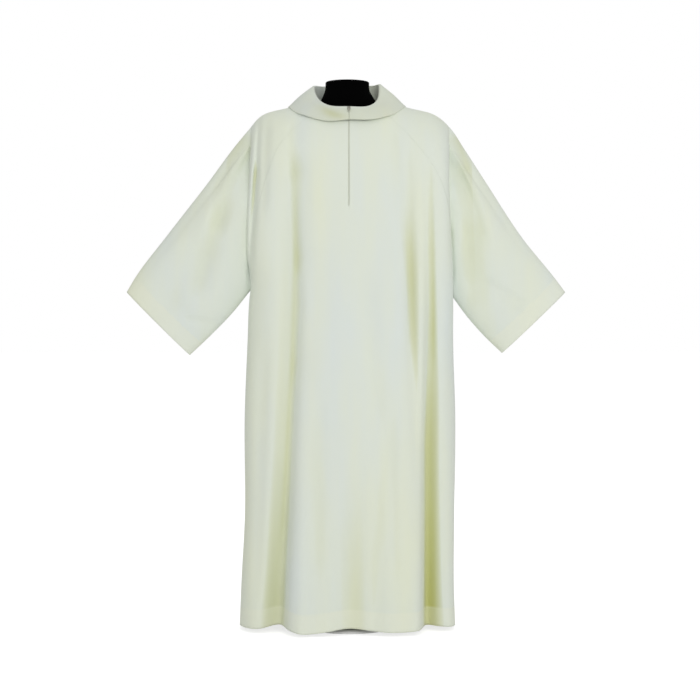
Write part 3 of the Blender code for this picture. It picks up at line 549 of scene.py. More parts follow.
def panel(face, ring_steps, columns, lower_rows):
    """Rows from the neckline to the hem, columns from left to right. Straight lines between both
    seams' points give x and z, a cosine dip lowers the neckline, and the cloth's depth gives y."""
    down = ring_places(ring_steps)[round(ring_steps * NECK_SHARE):]
    lower = np.linspace(0, 1, lower_rows + 1)[1:]
    neck_drop = FRONT_NECK_DROP if face == "front" else BACK_NECK_DROP
    ends = {}
    for side in (LEFT, RIGHT):
        seam = edge_point(RAGLAN_SEAM, side, down)
        hem = float(HEM.read(face, side * HEM_END))
        heights = seam[-1, 1] + (hem - seam[-1, 1]) * lower
        widths = BODY.read(side_name(side), heights)
        ends[side] = np.concatenate([seam, np.stack([side * widths, heights], -1)])
    left, right = ends[LEFT][:, None], ends[RIGHT][:, None]
    rows = len(left)
    low_down = np.arange(rows) - (len(down) - 1)
    half = np.linspace(0, 1, columns // 2)
    settle = smoothstep((low_down / (len(down) - 1) + SETTLING) / SETTLING)[:, None]
    half = half * (1 - settle) + np.sin(half * math.pi / 2) * settle
    start = ZIP_SLOT if face == "front" else 0.0
    slots = [start / np.abs(end[..., 0]) for end in (left, right)]
    low, high = (slot + (1 - slot) * half for slot in slots)
    place = np.concatenate([-low[:, ::-1], high[:, (0 if face == "front" else 1):]], 1)
    share = (place + 1) / 2
    x = np.where(place < 0, -place * left[..., 0], place * right[..., 0])
    z = left[..., 1] * (1 - share) + right[..., 1] * share
    seam_down = np.concatenate([down, np.ones(rows - len(down))])[:, None] + 0 * x
    dip = neck_drop * np.interp(seam_down[:, :1], *NECK_DIP)
    z = z - dip * np.cos(place * math.pi / 2) ** DIP_POWER
    hem_share = smoothstep((low_down[:, None] / lower_rows - (1 - HEM_BLEND)) / HEM_BLEND)
    level = HEM.read(face, -HEM_END) * (1 - share) + HEM.read(face, HEM_END) * share
    z = z + hem_share * (HEM.read(face, x) - level)
    depth = cloth_depth(face, x, z, seam_down, 0 * x)
    depth[low_down >= 0, 0] = 0
    depth[low_down >= 0, -1] = 0
    return np.stack([x, -depth if face == "front" else depth, z], -1)


print("front panel of", panel("front", *ROUGH_TRY).shape[:2], "points in a rough try")

# %% [markdown]
# ## Shader maths in plain Python
#
# A node tree is easier to read as a sum. `Wire` wraps one socket, so `1 - mask * 0.3` adds the
# Math nodes that it needs. `Finish` is one material, with a single method for every other node.


# %% Wires and finishes
def both_ways(operation):
    """An operator and its reflected form, so that 1 - mask works as well as mask - 1."""
    return (lambda wire, other: wire.maths(operation, wire, other),
            lambda wire, other: wire.maths(operation, other, wire))


class Wire:
    """One output socket that can be written in sums."""

    __add__, __radd__ = both_ways("ADD")
    __sub__, __rsub__ = both_ways("SUBTRACT")
    __mul__, __rmul__ = both_ways("MULTIPLY")
    __truediv__, __rtruediv__ = both_ways("DIVIDE")

    def __init__(self, finish, socket):
        self.finish, self.socket = finish, socket

    def maths(self, operation, *values):
        names = dict(enumerate(values))
        return self.finish.node("Math", {"operation": operation}, names)


class Finish:
    """A material: its shader's plain values, and one method that adds any other node."""

    def __init__(self, name, **constants):
        self.material = bpy.data.materials.new(name)
        self.material.use_nodes = True
        self.tree = self.material.node_tree
        self.shader = self.tree.nodes["Principled BSDF"]
        for socket, value in constants.items():
            self.shader.inputs[socket.replace("_", " ")].default_value = value

    def feed(self, socket, value):
        if isinstance(value, Wire):
            self.tree.links.new(value.socket, socket)
        else:
            socket.default_value = value

    def node(self, kind, settings=None, sockets=None, output=0):
        new = self.tree.nodes.new("ShaderNode" + kind)
        for name, value in (settings or {}).items():
            setattr(new, name, value)
        for name, value in (sockets or {}).items():
            self.feed(new.inputs[name], value)
        return Wire(self, new.outputs[output])

    def blend(self, share, low, high):
        """Colour `low` where share is 0 and `high` where it is 1."""
        return self.node("Mix", {"data_type": "RGBA"}, {0: share, 6: low, 7: high}, 2)

    def bump(self, height, distance, strength):
        normal = self.node("Bump", {}, {"Height": height, "Distance": distance, "Strength": strength})
        self.feed(self.shader.inputs["Normal"], normal)

    def colour(self, value):
        self.feed(self.shader.inputs["Base Color"], value)

    def rough(self, value):
        self.feed(self.shader.inputs["Roughness"], value)


def paint(red, green, blue):
    """A colour given as a screen shows it, 0 to 255, made linear."""
    share = np.array((red, green, blue)) / 255
    linear = np.where(share <= 0.04045, share / 12.92, ((share + 0.055) / 1.055) ** 2.4)
    return (*map(float, linear), 1.0)


# %% [markdown]
# ## Ivory cloth
#
# Alb cloth is a plain weave of polyester with some cotton, matt and a little see-through. Where
# it lies double, as in hems, it looks lighter and creamier. So the colour is mixed by two
# attributes of the surface: where the cloth is double, and how sheltered a point lies. The second
# is painted shade: in a deep fold it paints the cloth darker and yellow, as bounced light would.
# Painting one even ivory and leaving all the shade to the lamps would look like plaster. The weave
# is a bump on the piece's own cut, in metres, so it turns with each fold. The same bump raises the
# seam allowances and puckers the turned-up hems.

# %% Ivory cloth
THREAD = 0.0009
SEAM_ALLOWANCE = 0.006
COOL, WARM = (221, 229, 228), (231, 235, 209)
PAINTED_FOLD_SHADE, DOUBLED = (188, 188, 86), (236, 238, 216)
STREAKS = (9.0, 5.0, 1.6)


def weave_height(finish, pitch):
    """Threads over and under: sine across times sine along, in metres of the cut."""
    cut = finish.node("SeparateXYZ", {}, {0: finish.node("UVMap", {"uv_map": "cut"})})
    across = cut * (2 * math.pi / pitch)
    along = Wire(finish, cut.socket.node.outputs[1]) * (2 * math.pi / pitch)
    return across.maths("SINE", across) * along.maths("SINE", along)


def ivory_cloth(name, tone):
    """The cloth's finish. `tone` scales all its colours: below 1 it gives a darker copy, painted shade for
    the collar.
    """
    finish = Finish(name, Sheen_Weight=0.10, Sheen_Roughness=0.5, Specular_IOR_Level=0.22)
    where = finish.node("TexCoord", {}, {}, 3)
    fold = finish.node("Attribute", {"attribute_name": "fold"}, {}, 2)
    double = finish.node("Attribute", {"attribute_name": "double"}, {}, 2)
    hanging = finish.node("VectorMath", {"operation": "MULTIPLY"}, {0: where, 1: STREAKS})
    patchy = finish.node("TexNoise", {}, {"Vector": hanging, "Scale": 1.0, "Detail": 3.0})
    colours = (COOL, WARM, PAINTED_FOLD_SHADE, DOUBLED)
    cool, warm, deep, pale = (paint(*np.array(colour) * tone) for colour in colours)
    # Painted shade: the fold attribute, how sheltered a point lies, mixes in a darker yellow.
    base = finish.blend(fold * 1.1, finish.blend(patchy * 1.5 - 0.25, cool, warm), deep)
    finish.colour(finish.blend(double * 0.35, base, pale))
    finish.rough(0.70 + patchy * 0.12)
    slub = finish.node("TexNoise", {}, {"Vector": where, "Scale": 900.0, "Detail": 1.0})
    seams = finish.node("SeparateXYZ", {}, {0: finish.node("UVMap", {"uv_map": "seams"})})
    free_edge = Wire(finish, seams.socket.node.outputs[1])
    ridge = seams.maths("SMOOTH_MIN", seams / SEAM_ALLOWANCE, 1.0, 0.5)
    turned = free_edge.maths("LESS_THAN", free_edge, HEM_DEPTH)
    puckers = finish.node("TexNoise", {}, {"Vector": where, "Scale": 60.0, "Detail": 2.0})
    threads = weave_height(finish, THREAD) * 0.25 + slub * 0.25
    finish.bump(threads - ridge * 1.6 + turned * (0.5 + puckers * 0.7), 0.00025, 0.4)
    return finish.material


IVORY_CLOTH = ivory_cloth("ivory cloth", 1.0)
# Painted shade: the collar's cloth is the same ivory cloth, painted a little darker all over.
COLLAR_CLOTH = ivory_cloth("ivory cloth painted darker", 0.96)
print("weave of", THREAD * 1000, "mm a thread")

# %% [markdown]
# ## Making a piece
#
# A grid of points becomes a mesh in one go. One UV map is the cut, measured along the rows and
# columns in metres, so the weave keeps its scale round every fold. A second one holds how far each
# point lies from the seam and from the free edge. Solidify then gives the sheet its thickness, with
# twice as much where the cloth is double. An inner shell drawn by hand would do the same with more
# to keep in step.


# %% From a grid of points to a sheet of cloth
DOUBLE_THICKNESS = 0.0028
SINGLE_SHARE = 0.5


def running_length(points, axis):
    """Distance along the grid's rows or columns, summed from their start."""
    step = np.linalg.norm(np.diff(points, axis=axis), axis=-1)
    return np.concatenate([np.zeros_like(np.take(step, [0], axis)), np.cumsum(step, axis)], axis)


def grid_faces(rows, columns, closed, hole=None):
    """Four corners of each cell, left out where `hole` is true."""
    cells = np.arange(columns if closed else columns - 1)
    row, column = np.meshgrid(np.arange(rows - 1), cells, indexing="ij")
    after = (column + 1) % columns
    faces = np.stack([row * columns + column, row * columns + after,
                      (row + 1) * columns + after, (row + 1) * columns + column], -1).reshape(-1, 4)
    return faces if hole is None else faces[~hole.ravel()]


def new_mesh(name, points, faces, material):
    mesh = bpy.data.meshes.new(name)
    mesh.from_pydata(points.reshape(-1, 3), [], faces)
    mesh.materials.append(material)
    mesh.shade_smooth()
    obj = bpy.data.objects.new(name, mesh)
    bpy.context.scene.collection.objects.link(obj)
    return obj


def change_mesh(obj, change):
    """Hands the mesh to `change` in the form that bmesh works on, and takes it back."""
    editable = bmesh.new()
    editable.from_mesh(obj.data)
    change(editable)
    editable.to_mesh(obj.data)
    editable.free()


def drop_loose(mesh):
    bmesh.ops.delete(mesh, geom=[v for v in mesh.verts if not v.link_faces], context="VERTS")


def turn_outwards(mesh):
    bmesh.ops.recalc_face_normals(mesh, faces=mesh.faces)


def set_values(obj, name, values):
    attribute = obj.data.attributes.new(name, "FLOAT", "POINT")
    attribute.data.foreach_set("value", np.ascontiguousarray(values, dtype=np.float32).ravel())


def corner_map(obj, name, pairs):
    """A UV map from two numbers a point."""
    corners = np.empty(len(obj.data.loops), np.int32)
    obj.data.loops.foreach_get("vertex_index", corners)
    values = pairs.reshape(-1, 2)[corners].astype(np.float32)
    obj.data.uv_layers.new(name=name).data.foreach_set("uv", values.ravel())


def cloth_sheet(name, points, fold, double, seam, outward, closed=False, hole=None, cloth=None):
    """A sheet from a grid of points, turned so that its faces look along `outward`. `seam` is how
    far each point lies from the seam beside it, and `hole` marks the cells left out."""
    rows, columns = points.shape[:2]
    faces = grid_faces(rows, columns, closed, hole)
    a, b, c = (points.reshape(-1, 3)[faces[:, k]] for k in (0, 1, 2))
    looks = np.cross(b - a, c - a)
    if np.sum(looks * outward.reshape(-1, 3)[faces[:, 0]]) < 0:
        faces = faces[:, ::-1]
    obj = new_mesh(name, points, faces, cloth or IVORY_CLOTH)
    length = running_length(points, 0)
    corner_map(obj, "cut", np.stack([running_length(points, 1), length], -1))
    corner_map(obj, "seams", np.stack([seam, length[-1:] - length], -1))
    # The fold attribute is painted shade: how sheltered each point lies, which darkens and yellows the
    # colour.
    set_values(obj, "fold", fold)
    set_values(obj, "double", double)
    group = obj.vertex_groups.new(name="double cloth")
    twice = np.flatnonzero(np.asarray(double).ravel() > 0.5)
    group.add(twice.tolist(), 1.0, "REPLACE")
    wall = obj.modifiers.new("wall", "SOLIDIFY")
    wall.thickness = DOUBLE_THICKNESS
    wall.offset = -1.0
    wall.vertex_group = group.name
    wall.thickness_vertex_group = SINGLE_SHARE
    change_mesh(obj, drop_loose)
    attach(obj, "robe")
    return obj


def cloth_area(obj):
    """Half the surface of the thickened sheet, in square metres."""
    solid = obj.evaluated_get(bpy.context.evaluated_depsgraph_get())
    return sum(face.area for face in solid.to_mesh().polygons) / 2


# %% [markdown]
# ## Front and back
#
# Both are one panel each, as a tailor cuts them. The front is slit down its middle for the zip:
# the cells between its two middle columns are left out. A boolean would cut the slit too, but it
# would break the rows of points that the stitches follow later.

# %% Front and back panels
RING_STEPS = 72
PANEL_COLUMNS = 184
LOWER_ROWS = 150
EDGE_OF_DOUBLE = 0.002
RIGHT_SHADE_GAIN, SHADE_GAIN_WIDTH = 0.25, 0.1

panels, grids = {}, {}
for face, towards in (("front", -1.0), ("back", 1.0)):
    points = panel(face, RING_STEPS, PANEL_COLUMNS, LOWER_ROWS)
    height = points[..., 2] - HEM.read(face, points[..., 0])
    double = smoothstep((HEM_DEPTH - height) / EDGE_OF_DOUBLE + 0.5)
    hole = None
    if face == "front":
        middle = np.arange(points.shape[1] - 1) == PANEL_COLUMNS // 2 - 1
        hole = middle[None, :] & (points[1:, :-1, 2] > ZIP_END_HEIGHT)
    outward = np.zeros_like(points) + (0, towards, 0)
    # Painted shade: how sheltered each point lies, made stronger towards the right and weaker towards the
    # left.
    fold = shelter(face, points[..., 0], points[..., 2], np.abs(points[..., 1]), ())
    fold *= 1 + RIGHT_SHADE_GAIN * np.tanh(points[..., 0] / SHADE_GAIN_WIDTH)
    across = running_length(points, 1)
    seam = np.minimum(across, across[:, -1:] - across)
    grids[f"{face}_panel"] = points
    panels[face] = cloth_sheet(f"{face}_cloth", points, fold, double, seam, outward, hole=hole)
    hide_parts(f"{face}_panel")
    print(face, "has", round(cloth_area(panels[face]), 3), "square metres of cloth")

# %% [markdown]
# ## Raglan sleeves
#
# A raglan sleeve runs up to the neckline, so its seam crosses the chest on a slant. Each sleeve
# is a tube whose half rings come from the same patch, front and back. One closed grid carries the
# cloth round the arm, where two halves would have to be joined along two edges.

# %% Sleeves
SLEEVE_ROWS = 200
SLEEVE_SHADE_SHARE = 0.6

sleeves = {}
for side in (LEFT, RIGHT):
    halves = [sleeve_face(side, face, RING_STEPS, SLEEVE_ROWS) for face in ("front", "back")]
    ring = np.concatenate([halves[0], halves[1][:, -2:0:-1]], 1)
    length = running_length(ring, 0)
    double = smoothstep((CUFF_DEPTH - (length[-1:] - length)) / EDGE_OF_DOUBLE + 0.5)
    # Painted shade: how sheltered each point of the sleeve lies, scaled down.
    fold = [shelter(face, half[..., 0], half[..., 2], np.abs(half[..., 1]), SLEEVE_STROKES[face])
            for face, half in zip(("front", "back"), halves)]
    fold = SLEEVE_SHADE_SHARE * np.concatenate([fold[0], fold[1][:, -2:0:-1]], 1)
    outward = ring - ring.mean(1, keepdims=True)
    name = f"sleeve_{side_name(side)}"
    grids[name] = ring
    sleeves[side] = cloth_sheet(f"{name}_cloth", ring, fold, double, length, outward, closed=True)
    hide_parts(name)
    print(name, "has", round(cloth_area(sleeves[side]), 3), "square metres of cloth")

# %% [markdown]
# ## Collar
#
# The collar is one strip of cloth, folded over its rim. Its profile goes up from the neckline,
# round the rim and down to the outer edge, and changes with the bearing round the neck. A profile
# carried round the neck keeps its rim round everywhere, which a flat strip bent by a modifier
# would not. Where it would sink into the shoulder it is lifted clear.

# %% Profile of the collar
COLLAR_STEPS = 240
COLLAR_FINER = 6
COLLAR_BASE_DROP = 0.002
COLLAR_BASE_INSET = 0.0055
COLLAR_CLEARANCE = 0.0022
COLLAR_ROLL = 0.005
COLLAR_BULGE = 0.004
ROLL_POINT = 5


def neckline():
    """Bearing, distance and height of the neckline, all the way round."""
    loop = [panel(face, *ROUGH_TRY)[0] for face in ("front", "back")]
    for side in (LEFT, RIGHT):
        x, z = edge_point(RAGLAN_SEAM, side, 0.0)
        loop.append([(x, 0, z)])
    points = np.concatenate(loop)
    bearing = np.degrees(np.arctan2(points[:, 0], -points[:, 1]))
    order = np.argsort(bearing)
    return bearing[order], np.hypot(points[:, 0], points[:, 1])[order], points[order, 2]


def yoke_height(x, y):
    """Height of the robe over the shoulders: the shoulder's height less the fall of a quarter circle,
    arch times 1 - the root of (1 - (y/depth)^2)."""
    arch = np.where(y < 0, CHEST_ARCH, BACK_ARCH)
    depth = np.where(y < 0, BODY.read("front", SHOULDER_HEIGHT), BODY.read("back", SHOULDER_HEIGHT))
    return shoulder_height(x) - arch * (1 - np.sqrt(1 - np.clip(y / depth, -1, 1) ** 2))


def collar_profile(bearing, neck):
    """Ten points of the collar's section at each bearing: base, stand, rim, then four down its fall,
    which is a straight line bulged by half a sine."""
    rim_out, rim_up, edge_out, edge_up = (COLLAR.read(name, bearing) for name in COLLAR.names[1:])
    base_out = np.interp(bearing, neck[0], neck[1], period=360) - COLLAR_BASE_INSET
    base_up = np.interp(bearing, neck[0], neck[2], period=360) - COLLAR_BASE_DROP
    roll = COLLAR_ROLL
    inside = rim_out - roll
    points = [
        (base_out, base_up),
        (0.5 * (base_out + inside), 0.55 * base_up + 0.45 * rim_up),
        (inside, rim_up - roll),
        (rim_out - roll * 0.7, rim_up - roll * 0.3),
        (rim_out, rim_up),
        (rim_out + roll * 0.75, rim_up - roll * 0.35),
    ]
    start = np.stack(points[-1], -1)
    end = np.stack((edge_out, edge_up), -1)
    across = unit(np.stack((start[..., 1] - end[..., 1], end[..., 0] - start[..., 0]), -1))
    for share in (0.25, 0.5, 0.75, 1.0):
        point = start + (end - start) * share + across * COLLAR_BULGE * math.sin(math.pi * share)
        points.append((point[..., 0], point[..., 1]))
    return np.stack([np.stack(point, -1) for point in points], -2)


def smooth_line(points, finer):
    """A cubic through the points of each row, with `finer` steps between them."""
    count = points.shape[-2]
    slope = np.gradient(points, axis=-2)
    place = np.linspace(0, count - 1, (count - 1) * finer + 1)
    row = np.clip(place.astype(int), 0, count - 2)
    t = (place - row)[:, None]
    start = (1 + 2 * t) * (1 - t) ** 2 * points[..., row, :] + t * (1 - t) ** 2 * slope[..., row, :]
    end = t * t * (3 - 2 * t) * points[..., row + 1, :] + t * t * (t - 1) * slope[..., row + 1, :]
    return start + end


# %% Collar
# The dent beside the zip: how deep, at which bearing, how it leans, and how wide it is each way
DENT_PUSH = 0.004
DENT_BEARING, DENT_LEAN, DENT_WIDTH = -26, 75, 14
DENT_TURN, DENT_MIDDLE, DENT_REACH = 0.77, 0.80, 0.16
# Painted shade on the front of the collar's fall and in its dent; where the fall's shade starts, how fast
# it grows, and how wide it spreads round the neck
FALL_SHADE, DENT_SHADE = 0.10, 0.26
SHADE_FROM, SHADE_STEP, SHADE_WIDTH = 0.58, 0.1, 55

neck = neckline()
bearing = np.linspace(0, 360, COLLAR_STEPS + 1)
bearing = np.where(bearing <= 180, bearing, bearing - 360)
lines = collar_profile(bearing, neck)
turn = np.radians(bearing)[:, None]
shoulder = yoke_height(lines[..., 0] * np.sin(turn), -lines[..., 0] * np.cos(turn)) + COLLAR_CLEARANCE
lines[..., 1] += np.maximum(shoulder - lines[..., 1], 0) * (np.arange(lines.shape[1]) > ROLL_POINT)
lines = smooth_line(lines, COLLAR_FINER)
fall = np.linspace(0, 1, lines.shape[1])
slant = bearing[:, None] - DENT_BEARING - DENT_LEAN * (fall - DENT_TURN)
dent = np.exp(-((slant / DENT_WIDTH) ** 2)) * np.exp(-(((fall - DENT_MIDDLE) / DENT_REACH) ** 2))
lines[..., 0] -= DENT_PUSH * dent
collar_points = np.stack([lines[..., 0] * np.sin(turn), -lines[..., 0] * np.cos(turn), lines[..., 1]], -1)
collar_points[0, :, 0] = ZIP_SLOT
collar_points[-1, :, 0] = -ZIP_SLOT
section = np.gradient(lines, axis=1)
outward = np.stack([-section[..., 1] * np.sin(turn), section[..., 1] * np.cos(turn), section[..., 0]], -1)
# Painted shade, carried by the fold attribute: darker and yellower low on the fall before the neck, and in
# the dent.
before_neck = np.exp(-((bearing[:, None] / SHADE_WIDTH) ** 2))
shade = FALL_SHADE * smoothstep((fall - SHADE_FROM) / SHADE_STEP) * before_neck + DENT_SHADE * dent
across = running_length(collar_points, 1)
single = np.zeros(lines.shape[:2])
seam = across[:, -1:] - across
collar = cloth_sheet("collar_cloth", collar_points, shade, single, seam, outward, cloth=COLLAR_CLOTH)
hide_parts("collar")
print("collar has", round(cloth_area(collar), 4), "square metres of cloth")

# %% [markdown]
# ## Stitches
#
# A row of stitches holds each turned-up hem just under its upper edge, another runs along the
# collar's outer edge, and two hold the zip. A stitch is a short bead of thread that sinks into
# the cloth at both ends. A bump could draw it, but from close by it would lie flat. One small bead
# is worked out once and repeated with an array of places and directions, so that a row of hundreds
# stays one light mesh.


# %% One bead, and a row of them
BEAD_SIDES = 5
RING_OFFSET = 0.28


def bead(sides):
    """A rod one unit long: two rings of radius 1/2 near its ends, and a point at each end."""
    turn = 2 * math.pi * np.arange(sides) / sides
    ring = np.stack([0 * turn, np.cos(turn), np.sin(turn)], -1) / 2
    off = (RING_OFFSET, 0, 0)
    points = np.concatenate([[(-0.5, 0, 0)], ring - off, ring + off, [(0.5, 0, 0)]])
    a = np.arange(sides) + 1
    b = a % sides + 1
    last = 2 * sides + 1 + 0 * a
    faces = [(0 * a, b, a), (a, b, b + sides), (a, b + sides, a + sides), (last, a + sides, b + sides)]
    return points, np.concatenate([np.stack(face, -1) for face in faces])


def beads(name, places, along, out, size, material, slot):
    """A bead at each place: its length lies along `along`, its height along `out`."""
    along = unit(along)
    out = unit(out - along * np.sum(out * along, -1, keepdims=True))
    axes = np.stack([along, np.cross(out, along), out], 1) * np.array(size)[:, None]
    shape, faces = bead(BEAD_SIDES)
    points = places[:, None] + np.einsum("pj,kjc->kpc", shape, axes)
    faces = faces[None] + (np.arange(len(places)) * len(shape))[:, None, None]
    obj = new_mesh(name, points, faces.reshape(-1, 3), material)
    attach(obj, "robe")
    return obj


def spaced(line, out, pitch):
    """Places a pitch apart along a line of points, the line's direction there, and `out` there."""
    length = running_length(line[:, None], 0)[:, 0]
    at = np.arange(pitch / 2, length[-1], pitch)
    slope = np.gradient(line, axis=0)
    return [np.stack([np.interp(at, length, values[:, k]) for k in range(3)], -1)
            for values in (line, slope, out)]


# %% Lines on the cloth
def grid_normals(points, outward):
    """Cross product of a grid's two slopes, turned to the side of the vectors `outward`."""
    normals = unit(np.cross(np.gradient(points, axis=0), np.gradient(points, axis=1)))
    return normals * np.sign(np.sum(normals * outward, -1, keepdims=True))


def level_line(grid, measure, target):
    """Where `measure` reaches the target in each column of a grid, read between two rows."""
    row = np.clip((measure < target).sum(0), 1, len(grid) - 1)
    column = np.arange(grid.shape[1])
    low, high = measure[row - 1, column], measure[row, column]
    t = ((target - low) / (high - low))[:, None]
    return grid[row - 1, column] * (1 - t) + grid[row, column] * t


# %% Rows of stitches
STITCH_PITCH = 0.0032
STITCH_SIZE = (0.0027, 0.0005, 0.0005)
HEM_ROW = 0.0025
COLLAR_ROW = 0.0035
ZIP_ROW = 0.0030


def thread_finish():
    """Two near ivories, mixed by a noise as fine as the thread's ply."""
    finish = Finish("thread", Sheen_Weight=0.1)
    where = finish.node("TexCoord", {}, {}, 3)
    ply = finish.node("TexNoise", {}, {"Vector": where, "Scale": 700.0, "Detail": 2.0})
    finish.colour(finish.blend(ply, paint(222, 224, 203), paint(236, 238, 224)))
    finish.rough(0.55 + ply * 0.2)
    return finish.material


THREAD_FINISH = thread_finish()


def stitch_row(name, grid, out, measure, target, ring=False):
    """Stitches along the line where `measure` reaches the target. A ring closes on itself."""
    line, out = (level_line(values, measure, target) for values in (grid, out))
    if ring:
        line, out = (np.concatenate([values, values[:1]]) for values in (line, out))
    row = beads(name, *spaced(line, out, STITCH_PITCH), STITCH_SIZE, THREAD_FINISH, "ivory_cloth")
    print(name, len(row.data.polygons), "faces")


for face, towards in (("front", -1.0), ("back", 1.0)):
    grid = grids[f"{face}_panel"]
    normals = grid_normals(grid, np.array((0, towards, 0)))
    below = HEM.read(face, grid[..., 0]) - grid[..., 2]
    stitch_row(f"{face}_hem_stitches", grid, normals, below, HEM_ROW - HEM_DEPTH)
for side in (LEFT, RIGHT):
    name = f"sleeve_{side_name(side)}"
    grid = grids[name]
    normals = grid_normals(grid, grid - grid.mean(1, keepdims=True))
    length = running_length(grid, 0)
    stitch_row(f"{name}_cuff_stitches", grid, normals, length - length[-1:], HEM_ROW - CUFF_DEPTH, True)
collar_out = grid_normals(collar_points, outward)
grid, normals = collar_points.transpose(1, 0, 2), collar_out.transpose(1, 0, 2)
length = running_length(grid, 0)
stitch_row("collar_edge_stitches", grid, normals, length - length[-1:], -COLLAR_ROW)

# %% [markdown]
# ## Zip
#
# A coil zip has a small loop of nylon on each tape, and the loops of both sides interlock. Seen
# from outside it is a close row of short teeth, left and right in turn, on a woven cord. It shows
# in the slot of the chest and again where it runs up the collar to its rim. Each tooth is the same
# bead as a stitch, because at half a millimetre a true loop would show no more.

# %% Zip teeth
TOOTH_PITCH = 0.0008
TOOTH_SIZE = (0.0013, 0.0005, 0.0010)
TOOTH_SHIFT = 0.0004
TOOTH_DEPTH = 0.0003
COLLAR_OVERLAP = 0.012
CORD_HALF_WIDTH = 0.0012
CORD_DEPTH = (0.0010, 0.0013)

COIL_FINISH = Finish("zip coil", Specular_IOR_Level=0.4)
where = COIL_FINISH.node("TexCoord", {}, {}, 3)
grain = COIL_FINISH.node("TexNoise", {}, {"Vector": where, "Scale": 500.0})
COIL_FINISH.colour(COIL_FINISH.blend(grain, paint(226, 230, 212), paint(236, 239, 224)))
COIL_FINISH.rough(0.35 + grain * 0.2)

front = grids["front_panel"]
slot_column = PANEL_COLUMNS // 2 - 1
chest_line = front[:, slot_column: slot_column + 2].mean(1)
chest_out = grid_normals(front, np.array((0, -1.0, 0)))[:, slot_column]
collar_line = collar_points[[0, -1]].mean(0)
collar_line_out = collar_out[[0, -1]].mean(0) * (0, 1, 1)
collar_edge = collar_line[-1, 2]
on_chest = (chest_line[:, 2] > ZIP_END_HEIGHT) & (chest_line[:, 2] < collar_edge + COLLAR_OVERLAP)
on_collar = np.arange(len(collar_line)) > ROLL_POINT * COLLAR_FINER
stretches = {"chest": (chest_line[on_chest], chest_out[on_chest]),
             "collar": (collar_line[on_collar], collar_line_out[on_collar])}
places, outs = [], []
for name, (line, out) in stretches.items():
    place, _, out_there = spaced(line, out, TOOTH_PITCH)
    places.append(place)
    outs.append(unit(out_there))
places, outs = np.concatenate(places), np.concatenate(outs)
sideways = np.where(np.arange(len(places)) % 2, 1.0, -1.0)[:, None] * (TOOTH_SHIFT, 0, 0)
across = np.zeros_like(places) + (1.0, 0, 0)
teeth = beads("zip_teeth", places + sideways - outs * TOOTH_DEPTH, across, outs, TOOTH_SIZE,
              COIL_FINISH.material, "zip_plastic")
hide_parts("zip_chain")
print("zip has", len(places), "teeth")


# %% Woven cord behind the teeth, and the stitches beside the zip
def ribbon(name, line, out, half_width, depths, material, slot):
    """A flat closed strip: four lines of points round its section, and a cap at each end."""
    near, far = depths
    corners = ((-half_width, near), (half_width, near), (half_width, far), (-half_width, far))
    section = np.stack([line + (x, 0, 0) - out * depth for x, depth in corners], 1)
    faces = grid_faces(len(line), 4, True)[:, ::-1]
    last = 4 * (len(line) - 1)
    caps = [(0, 1, 2, 3), (last + 3, last + 2, last + 1, last)]
    obj = new_mesh(name, section, np.concatenate([faces, caps]), material)
    change_mesh(obj, turn_outwards)
    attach(obj, "robe")


for name, (line, out) in stretches.items():
    strip = (f"zip_cord_{name}", line, unit(out), CORD_HALF_WIDTH, CORD_DEPTH)
    ribbon(*strip, COIL_FINISH.material, "zip_plastic")
for side in (LEFT, RIGHT):
    line, out = stretches["chest"]
    places, along, outs = spaced(line + (side * ZIP_ROW, 0, 0), out, STITCH_PITCH)
    name = f"zip_stitches_{side_name(side)}"
    beads(name, places, along, outs, STITCH_SIZE, THREAD_FINISH, "ivory_cloth")
    print(name, "has", len(places), "stitches")

# %% [markdown]
# ## Dress form
#
# The form is a padded torso with a short neck and no limbs. Only its neck shows, but the whole of
# it is built, smooth, because the robe rests on its shoulders. It is a stack of level rings, each
# the rounded union of the neck's oval and the torso's. Over the armholes the rings follow the
# shoulder line, just under the cloth. Sculpting would give a livelier torso, but rings can be
# measured against the robe, and nothing of it may touch the cloth.

# %% Sizes of the form
TORSO = Table(
    "height half front back",
    (0.760, 0.160, 0.095, 0.100),
    (0.860, 0.172, 0.100, 0.106),
    (1.050, 0.138, 0.090, 0.086),
    (1.200, 0.170, 0.108, 0.100),
    (1.300, 0.188, 0.104, 0.100),
    (1.360, 0.203, 0.094, 0.090),
)
NECK = Table(
    "height half deep aside",
    (1.360, 0.0920, 0.0780, 0.0000),
    (1.430, 0.0880, 0.0720, 0.0000),
    (1.455, 0.0840, 0.0690, -0.0010),
    (1.480, 0.0720, 0.0635, -0.0030),
    (1.500, 0.0625, 0.0580, -0.0045),
    (1.524, 0.0610, 0.0550, -0.0045),
)
TORSO_BOTTOM, ARMHOLE_HEIGHT, NECK_TOP = 0.760, 1.360, 1.524
FORM_STEPS = 120
FORM_CLEARANCE = 0.0007
FORM_NECK_CLEARANCE = 0.0120
CLOTH = 0.0016
NECK_REACH = 0.055
SHOULDER_TIP, SHOULDER_CAP = 0.176, 0.040
CAP_ROUNDING = 1.5
EDGE_STEPS = 60
CHEST_DEEP, BACK_DEEP = 0.094, 0.090
FORM_BLEND = 0.010
NECK_EDGE = 0.0015
TORSO_RINGS, CAP_RINGS, RIDGE_RINGS, NECK_RINGS = 60, 14, 22, 12
print("form from", TORSO_BOTTOM, "to", NECK_TOP, "m")


# %% Rings of the form
def shoulder_line():
    """The form's top edge from the neck outwards: the sleeve's top edge, moved in by cloth and gap."""
    edge = edge_point(SLEEVE_TOP, RIGHT, np.linspace(0, 0.2, EDGE_STEPS))
    slope = unit(np.gradient(edge, axis=0))
    near_neck = np.clip(1 - (edge[:, 0] - edge[0, 0]) / NECK_REACH, 0, 1)
    inwards = CLOTH + FORM_CLEARANCE + FORM_NECK_CLEARANCE * near_neck
    return edge[:, 0] + slope[:, 1] * inwards, edge[:, 1] - slope[:, 0] * inwards


def oval_radius(half, deep, bearing):
    """Distance of an oval's edge from its middle: 1 over the root of (sin/half)^2 + (cos/deep)^2."""
    return 1 / np.sqrt((np.sin(bearing) / half) ** 2 + (np.cos(bearing) / deep) ** 2)


